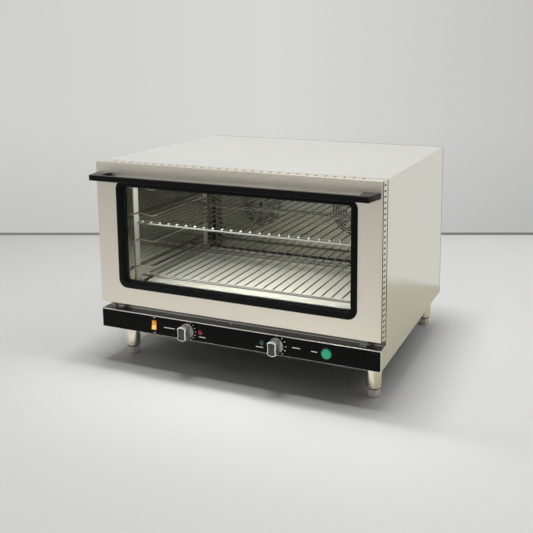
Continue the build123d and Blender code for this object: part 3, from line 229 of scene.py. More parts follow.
def brushed_grain() -> bpy.types.NodeTree:
    """Builds, once, the grain that all steel sheets share: long streaks over soft handling marks."""
    made = bpy.data.node_groups.get("brushed_grain")
    if made:
        return made
    tree = bpy.data.node_groups.new("brushed_grain", "ShaderNodeTree")
    for name, way, kind in GRAIN_SOCKETS:
        tree.interface.new_socket(name, in_out=way, socket_type=kind)
    nodes = tree.nodes
    links = tree.links
    wiring = Wiring(nodes, links)
    given = nodes.new("NodeGroupInput")
    result = nodes.new("NodeGroupOutput")
    place = nodes.new("ShaderNodeTexCoord")
    stretched = nodes.new("ShaderNodeVectorMath")
    stretched.operation = "MULTIPLY"
    links.new(place.outputs["Object"], stretched.inputs[0])
    links.new(given.outputs["Stretch"], stretched.inputs[1])
    streaks = wiring.noise(stretched.outputs["Vector"], scale=1.0, detail=2.0)
    marks = wiring.noise(place.outputs["Object"], scale=2.5, detail=1.0)
    blend = nodes.new("ShaderNodeMix")
    blend.data_type = "FLOAT"
    blend.inputs["Factor"].default_value = 0.5
    links.new(streaks, blend.inputs["A"])
    links.new(marks, blend.inputs["B"])
    gloss = nodes.new("ShaderNodeMapRange")
    gloss.inputs["From Min"].default_value = 0.3
    gloss.inputs["From Max"].default_value = 0.7
    links.new(blend.outputs["Result"], gloss.inputs["Value"])
    links.new(given.outputs["Gloss Low"], gloss.inputs["To Min"])
    links.new(given.outputs["Gloss High"], gloss.inputs["To Max"])
    tint = nodes.new("ShaderNodeMix")
    tint.data_type = "RGBA"
    links.new(streaks, tint.inputs["Factor"])
    links.new(given.outputs["Light Colour"], tint.inputs[6])
    links.new(given.outputs["Dark Colour"], tint.inputs[7])
    links.new(tint.outputs[2], result.inputs["Colour"])
    links.new(gloss.outputs["Result"], result.inputs["Roughness"])
    links.new(streaks, result.inputs["Height"])
    return tree


@dataclass(frozen=True)
class Finish:
    """A plain finish, with one colour and one gloss all over."""

    name: str
    colour: Colour
    roughness: float = 0.5
    metallic: float = 0.0
    specular: float = 0.5
    coat: float = 0.0
    glow: float = 0.0

    def material(self) -> bpy.types.Material:
        """Gives the finish's material, made at its first use."""
        return bpy.data.materials.get(self.full_name()) or self.mix()

    def full_name(self) -> str:
        """Gives the material's name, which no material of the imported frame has."""
        return f"{self.name}_finish"

    def mix(self) -> bpy.types.Material:
        """Makes the material."""
        material, wiring = start_material(self.full_name())
        wiring.show(self.shader(wiring).outputs["BSDF"])
        return material

    def shader(self, wiring: Wiring) -> bpy.types.Node:
        """Sets up the main shader with this finish's own values."""
        shader = wiring.nodes.new("ShaderNodeBsdfPrincipled")
        shader.inputs["Base Color"].default_value = opaque(self.colour)
        shader.inputs["Roughness"].default_value = self.roughness
        shader.inputs["Metallic"].default_value = self.metallic
        shader.inputs["Specular IOR Level"].default_value = self.specular
        shader.inputs["Coat Weight"].default_value = self.coat
        shader.inputs["Coat Roughness"].default_value = COAT_ROUGHNESS
        shader.inputs["Emission Color"].default_value = opaque(self.colour)
        shader.inputs["Emission Strength"].default_value = self.glow
        return shader


@dataclass(frozen=True)
class BrushedSteel(Finish):
    """Sheet steel with brush lines that run one way."""

    metallic: float = 1.0
    grain: Grain = Grain.ALONG_X
    spread: float = 0.03
    shade: float = 0.975
    relief: float = 0.02
    relief_depth: float = 0.3

    def mix(self) -> bpy.types.Material:
        """Makes the material, with the shared grain in its colour, gloss and height."""
        material, wiring = start_material(self.full_name())
        links = wiring.links
        shader = self.shader(wiring)
        grain = wiring.nodes.new("ShaderNodeGroup")
        grain.node_tree = brushed_grain()
        grain.inputs["Stretch"].default_value = self.grain.value
        grain.inputs["Gloss Low"].default_value = self.roughness - self.spread
        grain.inputs["Gloss High"].default_value = self.roughness + self.spread
        grain.inputs["Light Colour"].default_value = opaque(self.colour)
        grain.inputs["Dark Colour"].default_value = opaque(tuple(c * self.shade for c in self.colour))
        links.new(grain.outputs["Colour"], shader.inputs["Base Color"])
        links.new(grain.outputs["Roughness"], shader.inputs["Roughness"])
        bump = wiring.nodes.new("ShaderNodeBump")
        bump.inputs["Strength"].default_value = self.relief
        bump.inputs["Distance"].default_value = self.relief_depth * MM
        links.new(grain.outputs["Height"], bump.inputs["Height"])
        links.new(bump.outputs["Normal"], shader.inputs["Normal"])
        wiring.show(shader.outputs["BSDF"])
        return material


@dataclass(frozen=True)
class ClearGlass(Finish):
    """Window glass that lets the lamps' light through as well as the view."""

    ior: float = 1.14

    def mix(self) -> bpy.types.Material:
        """Makes the material, plain for the view and transparent to shadow rays."""
        material, wiring = start_material(self.full_name())
        shader = self.shader(wiring)
        shader.inputs["Transmission Weight"].default_value = 1.0
        shader.inputs["IOR"].default_value = self.ior
        through = wiring.nodes.new("ShaderNodeBsdfTransparent")
        through.inputs["Color"].default_value = opaque(self.colour)
        path = wiring.nodes.new("ShaderNodeLightPath")
        mask = path.outputs["Is Shadow Ray"]
        wiring.show(wiring.blend(mask, shader.outputs["BSDF"], through.outputs["BSDF"]))
        return material


DOOR_STEEL = BrushedSteel("door_steel", (0.90, 0.85, 0.73), 0.34)
CASE_STEEL = BrushedSteel("case_steel", (0.89, 0.88, 0.82), 0.20, grain=Grain.ALONG_Y)
LINER_STEEL = BrushedSteel("liner_steel", (0.44, 0.44, 0.38), 0.15, grain=Grain.ALONG_Y)
BAFFLE_STEEL = BrushedSteel("baffle_steel", (0.50, 0.50, 0.43), 0.24, grain=Grain.ALONG_Z)
PLATE_STEEL = BrushedSteel("plate_steel", (0.92, 0.92, 0.80), 0.38, metallic=0.15)
# The wrap's top faces get their own slightly lighter, partly matte copy of its steel: painted light on the
# top.
LIT_TOP_STEEL = BrushedSteel("lit_top_steel", (0.89, 0.885, 0.845), 0.36, metallic=0.9, grain=Grain.ALONG_Y)
# Near-black steel for the base pan: painted shade, which also keeps the floor under the oven dark.
SHADED_BASE_STEEL = Finish("shaded_base_steel", (0.05, 0.05, 0.04), 0.6, metallic=0.3)
FOOT_STEEL = Finish("foot_steel", (0.90, 0.86, 0.74), 0.35, metallic=0.2)
# Darker steel for narrow edges and the legs' bottom rims: painted shade.
SHADED_EDGE_STEEL = Finish("shaded_edge_steel", (0.30, 0.29, 0.26), 0.45, metallic=1.0)
# Dull, darker steel for the door's top bend: painted shade in place of the bend's highlight.
SHADED_BEND_STEEL = Finish("shaded_bend_steel", (0.52, 0.49, 0.42), 0.55, metallic=0.8)
# Dark steel for the hinge parts: painted shade where they sit in the dark under the door.
SHADED_HINGE_STEEL = Finish("shaded_hinge_steel", (0.20, 0.19, 0.17), 0.4, metallic=1.0)
UPRIGHT_STEEL = Finish("upright_steel", (0.42, 0.41, 0.36), 0.4, metallic=0.3)
# Copies of the rack's chrome: a darker one, painted shade on the wires deeper in the cavity, and a lighter
# matte one, a painted highlight on their front tips.
SHADED_WIRE_STEEL = Finish("shaded_wire_steel", (0.42, 0.42, 0.38), 0.2, metallic=1.0)
HIGHLIT_TIP_STEEL = Finish("highlit_tip_steel", (0.55, 0.55, 0.51), 0.3, metallic=0.2)
FAN_STEEL = Finish("fan_steel", (0.10, 0.10, 0.09), 0.4, metallic=1.0)
MILL_STEEL = BrushedSteel("mill_steel", (0.58, 0.59, 0.60), 0.42, grain=Grain.NONE,
                          spread=0.09, shade=0.82)
LEG_STEEL = BrushedSteel("leg_steel", (0.92, 0.86, 0.73), 0.20, grain=Grain.ALONG_Z)
CHROME = Finish("bright_chrome", (0.86, 0.86, 0.83), 0.12, metallic=1.0)
SCREW_STEEL = Finish("screw_steel", (0.66, 0.65, 0.62), 0.28, metallic=1.0)
PANEL_BLACK = Finish("panel_black", (0.003, 0.003, 0.0028), 0.18, specular=0.09)
SHELF_GREY = Finish("shelf_grey", (0.018, 0.019, 0.017), 0.35, specular=0.35)
HANDLE_BLACK = Finish("handle_black", (0.005, 0.005, 0.005), 0.28, specular=0.16)
PLASTIC_BLACK = Finish("plastic_black", (0.008, 0.008, 0.008), 0.35, specular=0.35)
GASKET_RUBBER = Finish("gasket_rubber", (0.003, 0.003, 0.003), 0.24, specular=0.12)
# Near-black painted shade for slots, seams, hidden walls and the feet's tops, where only shade falls.
PAINTED_SHADE_BLACK = Finish("painted_shade_black", (0.003, 0.003, 0.003), 0.9, specular=0.05)
SEAL_RUBBER = Finish("seal_rubber", (0.055, 0.055, 0.05), 0.6)
GLASS = ClearGlass("clear_glass", (0.98, 0.985, 0.97), 0.0)
KNOB_SILVER = Finish("knob_silver", (0.50, 0.50, 0.49), 0.34, metallic=0.8)
KNOB_FACE = BrushedSteel("knob_face", (0.10, 0.10, 0.10), 0.40, grain=Grain.ALONG_Z, shade=0.6)
AMBER = Finish("amber_rocker", (0.95, 0.34, 0.015), 0.25, coat=0.3, glow=0.35)
# Lighter, stronger-glowing amber for the rocker's lower facet: a painted highlight on top of the switch's
# own glow.
AMBER_HIGHLIGHT = Finish("amber_painted_highlight", (1.0, 0.62, 0.10), 0.25, coat=0.3, glow=0.55)
# The button's glow is painted light; the button is no lamp.
STEAM_GREEN = Finish("steam_green", (0.012, 0.40, 0.21), 0.25, coat=0.3, glow=0.3)
GREEN_LENS = Finish("green_lens", (0.004, 0.075, 0.035), 0.18, coat=0.3, glow=0.1)
RED_LENS = Finish("red_lens", (0.24, 0.008, 0.010), 0.18, coat=0.3, glow=0.2)
# The print's glow is painted light that makes it read brighter.
PRINT_WHITE = Finish("print_white", (0.85, 0.85, 0.83), 0.55, glow=0.45)
WOOL = Finish("mineral_wool", (0.50, 0.46, 0.33), 0.95, specular=0.1)
ELEMENT_BLACK = Finish("element_sheath", (0.09, 0.085, 0.08), 0.55, metallic=0.5)
BRASS = Finish("valve_brass", (0.72, 0.53, 0.24), 0.26, metallic=1.0)


class Piece:
    """A mesh on the bench, shaped with Blender's own tools and then fitted to the frame."""

    def __init__(self, obj: bpy.types.Object) -> None:
        """Takes an object that stands at the origin with its place in its mesh."""
        self.obj = obj

    @classmethod
    def named(cls, name: str) -> Piece:
        """Takes the active object, which a tool has just added, and names it."""
        obj = bpy.context.object
        obj.name = name
        obj.data.name = name
        bpy.ops.object.transform_apply(location=True, rotation=True, scale=True)
        return cls(obj)

    @classmethod
    def block(cls, name: str, low: Place, high: Place) -> Piece:
        """Adds a block.

        Args:
            name: What the piece is called.
            low: Its corner with the lowest x, y and z.
            high: Its corner with the highest.

        Returns:
            The block, in place.
        """
        deselect_all()
        low_corner = metres(low)
        high_corner = metres(high)
        middle = (low_corner + high_corner) / 2
        bpy.ops.mesh.primitive_cube_add(size=1.0, location=middle, scale=high_corner - low_corner)
        return cls.named(name)

    @classmethod
    def turned(cls, name: str, profile: Sequence[tuple[float, float]], facing: Facing, at: Place,
               sides: int = 40) -> Piece:
        """Turns a solid: a disc is extruded ring by ring, as on a lathe.

        Args:
            name: What the piece is called.
            profile: Radius and distance along the axis of each ring, the first and last closed.
            facing: Where the axis points.
            at: Where the axis starts.
            sides: How many sides the round has.

        Returns:
            The turned piece, in place.
        """
        deselect_all()
        radius, height = profile[0]
        bpy.ops.mesh.primitive_circle_add(vertices=sides, radius=radius * MM, fill_type="NGON",
                                          location=(0.0, 0.0, height * MM))
        piece = cls.named(name)
        with piece.editing("FACE"):
            bpy.ops.mesh.select_all(action="SELECT")
            for next_radius, next_height in profile[1:]:
                rise = (0.0, 0.0, (next_height - height) * MM)
                bpy.ops.mesh.extrude_region_move(TRANSFORM_OT_translate={"value": rise})
                grow = next_radius / radius
                bpy.ops.transform.resize(value=(grow, grow, 1.0),
                                         center_override=(0.0, 0.0, next_height * MM))
                radius, height = next_radius, next_height
            bpy.ops.mesh.select_all(action="SELECT")
            bpy.ops.mesh.normals_make_consistent(inside=False)
        piece.obj.data.transform(Matrix.Translation(metres(at)) @ facing.matrix())
        return piece

    @classmethod
    def rod(cls, name: str, corners: Sequence[Place], radius: float, bend: float, closed: bool = False,
            sides: int = 12) -> Piece:
        """Bends a round rod: a disc is extruded along each straight and spun round each corner.

        Args:
            name: What the piece is called.
            corners: Places where the rod's straights would meet.
            radius: Radius of the rod.
            bend: Radius of its bends, on the centre line.
            closed: Whether the last place is joined to the first.
            sides: How many sides the round has.

        Returns:
            The rod, in place.
        """
        points = [metres(corner) for corner in corners]
        if closed:
            start = (points[0] + points[-1]) / 2
            points = [start, *points, start]
        first = (points[1] - points[0]).normalized()
        deselect_all()
        bpy.ops.mesh.primitive_circle_add(vertices=sides, radius=radius * MM, location=points[0],
                                          rotation=first.to_track_quat("Z", "Y").to_euler(),
                                          fill_type="NOTHING" if closed else "NGON")
        piece = cls.named(name)
        with piece.editing("EDGE" if closed else "FACE"):
            bpy.ops.mesh.select_all(action="SELECT")
            here = points[0]
            for index in range(1, len(points)):
                way = (points[index] - here).normalized()
                if index == len(points) - 1:
                    piece.draw_out(points[index] - here, closed)
                    break
                onward = (points[index + 1] - points[index]).normalized()
                angle = way.angle(onward)
                setback = bend * MM * math.tan(angle / 2)
                piece.draw_out(points[index] - way * setback - here, closed)
                axis = way.cross(onward).normalized()
                centre = points[index] - way * setback + axis.cross(way) * bend * MM
                steps = max(3, round(math.degrees(angle) / BEND_STEP))
                bpy.ops.mesh.spin(steps=steps, angle=angle, center=centre, axis=axis)
                here = points[index] + onward * setback
            bpy.ops.mesh.select_all(action="SELECT")
            bpy.ops.mesh.remove_doubles(threshold=ROD_WELD * MM)
            bpy.ops.mesh.normals_make_consistent(inside=False)
        return piece

    @staticmethod
    def draw_out(step: Vector, edges: bool) -> None:
        """Extrudes what is selected, a face or a ring of edges, along a step."""
        if edges:
            bpy.ops.mesh.extrude_edges_move(TRANSFORM_OT_translate={"value": step})
        else:
            bpy.ops.mesh.extrude_region_move(TRANSFORM_OT_translate={"value": step})

    @classmethod
    def lettering(cls, name: str, words: str, height: float, depth: float, at: Place) -> Piece:
        """Prints a number or a switch mark on the panel.

        Args:
            name: What the piece is called.
            words: What it says.
            height: How tall the letters are.
            depth: How far they stand out either way.
            at: The middle of the print.

        Returns:
            The print, a thin layer that faces the front.
        """
        deselect_all()
        bpy.ops.object.text_add(location=(0.0, 0.0, 0.0))
        text = bpy.context.object
        text.data.body = words
        text.data.align_x = "CENTER"
        text.data.align_y = "CENTER"
        text.data.size = height * MM * LETTER_SCALE
        text.data.extrude = depth * MM
        text.data.resolution_u = 3
        bpy.ops.object.convert(target="MESH")
        piece = cls.named(name)
        piece.obj.data.transform(Matrix.Translation(metres(at)) @ Facing.FRONT.matrix())
        return piece

    @classmethod
    def from_node(cls, source: bpy.types.Object, name: str, flatten: bool = True) -> Piece:
        """Copies a node's mesh and joins its loose triangles.

        Args:
            source: The node.
            name: What the copy is called.
            flatten: Whether flat faces are made whole again.

        Returns:
            The copy.
        """
        mesh = source.data.copy()
        mesh.materials.clear()
        obj = bpy.data.objects.new(name, mesh)
        bpy.context.scene.collection.objects.link(obj)
        piece = cls(obj)
        piece.hold()
        bpy.ops.mesh.customdata_custom_splitnormals_clear()
        with piece.editing("FACE"):
            bpy.ops.mesh.select_all(action="SELECT")
            bpy.ops.mesh.remove_doubles(threshold=NODE_WELD * MM)
            if flatten:
                bpy.ops.mesh.dissolve_limited(angle_limit=math.radians(FLAT_ANGLE))
        return piece

    def hold(self) -> None:
        """Makes this piece the only selected one."""
        deselect_all()
        self.obj.select_set(True)
        bpy.context.view_layer.objects.active = self.obj

    @contextmanager
    def editing(self, kind: str) -> Iterator[None]:
        """Opens the piece in edit mode for a while, to work on its faces or edges."""
        self.hold()
        bpy.ops.object.mode_set(mode="EDIT")
        bpy.ops.mesh.select_mode(type=kind)
        yield
        bpy.ops.object.mode_set(mode="OBJECT")

    def choose_faces(self, test: Test) -> Piece:
        """Selects the faces that pass a test, for the next tool."""
        with self.editing("FACE"):
            bpy.ops.mesh.select_all(action="DESELECT")
        for face in self.obj.data.polygons:
            face.select = test(face)
        return self

    def sink(self, test: Test, inset: float, depth: float) -> Piece:
        """Insets the chosen faces and presses the inner part in.

        Args:
            test: Which faces.
            inset: Width of the border that stays.
            depth: How far the inner part goes in, or out if it is below zero.

        Returns:
            The piece, with the inner faces selected.
        """
        self.choose_faces(test)
        with self.editing("FACE"):
            bpy.ops.mesh.inset(thickness=inset * MM, depth=0.0)
            bpy.ops.mesh.inset(thickness=0.0, depth=-depth * MM)
        return self

    def soften(self, width: float, segments: int = 2, angle: float = 30.0) -> Piece:
        """Rounds the edges that are sharper than an angle, and smooths the rest."""
        self.hold()
        edge = self.obj.modifiers.new("edge", "BEVEL")
        edge.width = width * MM
        edge.segments = segments
        edge.limit_method = "ANGLE"
        edge.angle_limit = math.radians(angle)
        bpy.ops.object.modifier_apply(modifier=edge.name)
        return self.smooth(angle)

    def smooth(self, angle: float = 30.0) -> Piece:
        """Shades the faces smooth, except across edges sharper than an angle."""
        self.hold()
        bpy.ops.object.shade_smooth_by_angle(angle=math.radians(angle))
        return self

    def creased(self, at: Place, normal: Place) -> Piece:
        """Marks a straight line round the piece, where a plane meets it."""
        with self.editing("FACE"):
            bpy.ops.mesh.select_all(action="SELECT")
            bpy.ops.mesh.bisect(plane_co=metres(at), plane_no=normal)
        return self

    def cut(self, cutter: Piece) -> Piece:
        """Cuts another piece out of this one, and takes the cutter away."""
        self.hold()
        hole = self.obj.modifiers.new("hole", "BOOLEAN")
        hole.object = cutter.obj
        hole.operation = "DIFFERENCE"
        bpy.ops.object.modifier_apply(modifier=hole.name)
        bpy.data.objects.remove(cutter.obj)
        return self

    def copied(self, name: str, step: Place) -> Piece:
        """Copies the piece, with its own mesh, a step away."""
        twin = self.obj.copy()
        twin.data = self.obj.data.copy()
        twin.name = name
        bpy.context.scene.collection.objects.link(twin)
        twin.data.transform(Matrix.Translation(metres(step)))
        return Piece(twin)

    def joined(self, others: Sequence[Piece]) -> Piece:
        """Joins other pieces into this one."""
        self.hold()
        for other in others:
            other.obj.select_set(True)
        bpy.ops.object.join()
        return self

    def mirrored(self, name: str) -> Piece:
        """Copies the piece to the other side of the oven's middle."""
        twin = self.copied(name, (0.0, 0.0, 0.0))
        twin.obj.data.transform(Matrix.Scale(-1.0, 4, (1.0, 0.0, 0.0)))
        with twin.editing("FACE"):
            bpy.ops.mesh.select_all(action="SELECT")
            bpy.ops.mesh.flip_normals()
        return twin

    def dress(self, finish: Finish) -> Piece:
        """Gives the whole piece a finish."""
        self.obj.data.materials.clear()
        self.obj.data.materials.append(finish.material())
        return self

    def dress_faces(self, finish: Finish, test: Test) -> Piece:
        """Gives the faces that pass a test a finish of their own."""
        self.obj.data.materials.append(finish.material())
        index = len(self.obj.data.materials) - 1
        for face in self.obj.data.polygons:
            if test(face):
                face.material_index = index
        return self


@dataclass
class Frame:
    """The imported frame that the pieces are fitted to."""

    nodes: dict[str, bpy.types.Object]
    slots: dict[str, str]
    cad_box: tuple[list[float], list[float]]

    @classmethod
    def opened(cls) -> Frame:
        """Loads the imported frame."""
        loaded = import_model()
        slots: dict[str, str] = {}
        for row in loaded["record"]["subparts"]:
            slots[row["node"]] = row["material_slot"]
        low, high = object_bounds()
        return cls(loaded["nodes"], slots, (list(low), list(high)))

    def fit(self, piece: Piece, node: str, replaces: bool = True) -> Piece:
        """Fits a piece to the frame: it moves with a node's body.

        Args:
            piece: The finished piece.
            node: The node that it stands for or is fixed to.
            replaces: Whether the node isn't shown any more.

        Returns:
            The piece.
        """
        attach(piece.obj, self.nodes[node]["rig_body"])
        if replaces:
            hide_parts(node)
        LOG.info("%s on %s", piece.obj.name, node)
        return piece

    def dressed(self, node: str, finish: Finish, edge: float = 0.0, angle: float = 30.0,
                flatten: bool = True) -> Piece:
        """Makes a finished copy of a node and fits it in the node's place.

        Args:
            node: The node.
            finish: Its finish.
            edge: Width of the rounding of its edges, if any.
            angle: Edges sharper than this stay edges.
            flatten: Whether flat faces are made whole first.

        Returns:
            The finished copy.
        """
        piece = Piece.from_node(self.nodes[node], f"{node}_dressed", flatten)
        if edge:
            piece.soften(edge, angle=angle)
        else:
            piece.smooth(angle)
        return self.fit(piece.dress(finish), node)


def row(count: int, span: float) -> list[float]:
    """Spreads places evenly over a span, about its middle."""
    return [span * (index / (count - 1) - 0.5) for index in range(count)]


@dataclass
class Casing:
    """Folded top and sides, back, base, legs and feet."""

    leg_radius: float = 20.0
    leg_bore: float = 14.0
    leg_bevel: float = 2.6
    leg_waist: float = 73.0
    leg_length: float = 78.0
    leg_rim: float = 2.0
    leg_x: float = 364.0
    leg_ys: tuple[float, float] = (-224.0, 307.0)
    leg_bottom: float = 23.0
    foot_shade: float = 20.5
    screw_reach: float = 339.4
    screw_head: tuple[tuple[float, float], ...] = (
        (3.9, -1.0), (3.9, 1.2), (3.4, 1.9), (2.2, 2.35), (0.9, 2.45))
    cross_half: tuple[float, float] = (2.2, 0.45)
    cross_depths: tuple[float, float] = (1.2, 4.0)
    seam_y: float = -264.5
    back_y: float = 331.0
    edge_x: float = -403.5
    plain: dict[str, Finish] = field(default_factory=lambda: {
        "base_pan": SHADED_BASE_STEEL,
        "front_frame": CASE_STEEL,
        "insulation_blanket": WOOL,
        "cavity_supports": MILL_STEEL,
    })

    def build(self, frame: Frame) -> None:
        """Builds and fits every piece of the casing."""
        self.build_wrap(frame)
        frame.dressed("rear_panel", MILL_STEEL, flatten=False)
        for node, finish in self.plain.items():
            frame.dressed(node, finish, flatten=False)
        self.build_screws(frame)
        self.build_legs(frame)
        for place in ("front_left", "front_right", "rear_left", "rear_right"):
            foot = frame.dressed(f"foot_{place}", FOOT_STEEL, edge=0.8)
            foot.creased((0.0, 0.0, self.foot_shade), (0.0, 0.0, 1.0))
            # The band of each foot above foot_shade is made near-black: painted shade under the leg.
            foot.dress_faces(PAINTED_SHADE_BLACK, lambda face: face.center.z > self.foot_shade * MM)

    def build_wrap(self, frame: Frame) -> None:
        """Builds the folded sheet, with painted shade in the seam behind the door and on the turned-in
        edges.
        """
        wrap = frame.dressed("outer_wrap", CASE_STEEL, flatten=False)
        left = self.edge_x
        wrap.creased((0.0, self.seam_y, 0.0), (0.0, 1.0, 0.0))
        wrap.creased((0.0, self.back_y, 0.0), (0.0, 1.0, 0.0))
        wrap.creased((left, 0.0, 0.0), (1.0, 0.0, 0.0))
        # The top faces get the lighter, partly matte copy of the steel: painted light.
        wrap.dress_faces(LIT_TOP_STEEL, lambda face: face.normal.z > 0.5)
        # Painted shade: the seam is made near-black and the narrow edges a darker steel.
        wrap.dress_faces(PAINTED_SHADE_BLACK, self.in_seam)
        wrap.dress_faces(SHADED_EDGE_STEEL, self.on_edge)

    def in_seam(self, face: Face) -> bool:
        """Tells whether a face is in the seam between the side and the closed door; it gets painted shade.
        """
        place = face.center / MM
        return abs(face.normal.x) > 0.9 and place.y < self.seam_y and place.z > SHELF_Z + 20.0

    def on_edge(self, face: Face) -> bool:
        """Tells whether a face is in the narrow edge at the top's left or back, or at a side's back; it
        gets a darker steel as painted shade.
        """
        place = face.center / MM
        on_top = face.normal.z > 0.9 and (place.y > self.back_y or place.x < self.edge_x)
        return on_top or (abs(face.normal.x) > 0.9 and place.y > self.back_y)

    def build_screws(self, frame: Frame) -> None:
        """Builds the pan-head screws of the back, one and then its copies."""
        places = self.screw_places(frame)
        x, z = places[0]
        seat = self.screw_reach - self.screw_head[-1][1]
        first = Piece.turned("casing_screw_heads", self.screw_head, Facing.BACK, (x, seat, z), sides=24)
        floor, top = self.cross_depths
        for half_x, half_z in (self.cross_half, self.cross_half[::-1]):
            low = (x - half_x, seat + floor, z - half_z)
            high = (x + half_x, seat + top, z + half_z)
            first.cut(Piece.block("cross_cutter", low, high))
        copies = [first.copied("screw_copy", (px - x, 0.0, pz - z)) for px, pz in places[1:]]
        first.joined(copies).smooth(40.0)
        frame.fit(first.dress(SCREW_STEEL), "casing_screws")

    @staticmethod
    def screw_places(frame: Frame) -> list[tuple[float, float]]:
        """Finds the middle of each screw of the node, seen from the back."""
        probe = Piece.from_node(frame.nodes["casing_screws"], "screw_probe")
        mesh = probe.obj.data
        owner = list(range(len(mesh.vertices)))

        def root(index: int) -> int:
            """Finds the first corner of the solid that a corner is part of."""
            while owner[index] != index:
                index = owner[index]
            return index

        for edge in mesh.edges:
            a, b = root(edge.vertices[0]), root(edge.vertices[1])
            owner[max(a, b)] = min(a, b)
        solids: dict[int, list[Vector]] = {}
        for vertex in mesh.vertices:
            solids.setdefault(root(vertex.index), []).append(vertex.co / MM)
        bpy.data.objects.remove(probe.obj)
        places = []
        for corners in solids.values():
            xs = [corner.x for corner in corners]
            zs = [corner.z for corner in corners]
            places.append(((min(xs) + max(xs)) / 2, (min(zs) + max(zs)) / 2))
        return sorted(places)

    def build_legs(self, frame: Frame) -> None:
        """Turns one leg and copies it to the four corners."""
        radius = self.leg_radius
        bevel = self.leg_bevel
        neck = radius - 0.5
        profile = [(self.leg_bore, 0.0), (radius - bevel, 0.0), (radius - 1.0, 0.9), (radius, bevel),
                   (radius, self.leg_waist), (neck, self.leg_waist + 1.2), (neck, self.leg_length),
                   (8.0, self.leg_length)]
        x, y = -self.leg_x, self.leg_ys[0]
        first = Piece.turned("leg_tubes", profile, Facing.UP, (x, y, self.leg_bottom), sides=48)
        copies = []
        for leg_y in self.leg_ys:
            for leg_x in (-self.leg_x, self.leg_x):
                if (leg_x, leg_y) != (x, y):
                    copies.append(first.copied("leg_copy", (leg_x - x, leg_y - y, 0.0)))
        first.joined(copies).smooth(25.0)
        # The bottom rim of each leg gets the darker edge steel: painted shade.
        rim = (self.leg_bottom + self.leg_rim) * MM
        first.dress(LEG_STEEL).dress_faces(SHADED_EDGE_STEEL, lambda face: face.center.z < rim)
        frame.fit(first, "legs")


@dataclass
class WireRack:
    """Welded rack: a bent rod loop, wires across it and two stiffening rods."""

    node: str
    front: float
    rod_z: float
    half_width: float = 332.0
    depth: float = 428.0
    rod_radius: float = 3.0
    wire_radius: float = 1.8
    wires: int = 23
    corner: float = 12.0
    bite: float = 0.55
    tip: float = 9.0
    end_bevel: float = 0.6
    end_share: float = 0.7
    mid_rods: tuple[float, float] = (270.0, 292.0)

    def build(self, frame: Frame) -> None:
        """Builds the rack and fits it."""
        x = self.half_width
        back = self.front + self.depth
        corners = [(x, self.front, self.rod_z), (x, back, self.rod_z),
                   (-x, back, self.rod_z), (-x, self.front, self.rod_z)]
        rack = Piece.rod(f"{self.node}_wires", corners, self.rod_radius, self.corner, closed=True)
        parts = []
        for offset in self.mid_rods:
            y = self.front + offset
            ends = [(-x, y, self.rod_z), (x, y, self.rod_z)]
            parts.append(Piece.rod("mid_rod", ends, self.rod_radius, self.corner))
        wire_z = self.rod_z + self.rod_radius + self.wire_radius - self.bite
        pitch = 2 * x / (self.wires + 1)
        places = row(self.wires, (self.wires - 1) * pitch)
        radius = self.wire_radius
        end = radius * self.end_share
        reach = self.depth + 2 * self.rod_radius
        profile = [(end, 0.0), (radius, self.end_bevel), (radius, self.tip),
                   (radius, reach - self.end_bevel), (end, reach)]
        start = (places[0], self.front - self.rod_radius, wire_z)
        first = Piece.turned("wire", profile, Facing.BACK, start, sides=12)
        parts.append(first)
        parts.extend(first.copied("wire_copy", (place - places[0], 0.0, 0.0)) for place in places[1:])
        rack.joined(parts).smooth(50.0)
        rack.dress(CHROME)
        # Painted shade on the wires behind the front, and a painted highlight on their front tips.
        rack.dress_faces(SHADED_WIRE_STEEL, lambda face: face.center.y > (self.front + 2 * self.tip) * MM)
        rack.dress_faces(HIGHLIT_TIP_STEEL, self.on_tip)
        frame.fit(rack, self.node)

    def on_tip(self, face: Face) -> bool:
        """Tells whether a face is on the front end of a wire, which gets a painted highlight."""
        place = face.center / MM
        reach = self.front - self.rod_radius + self.tip
        return place.y < reach and place.z > self.rod_z + self.rod_radius


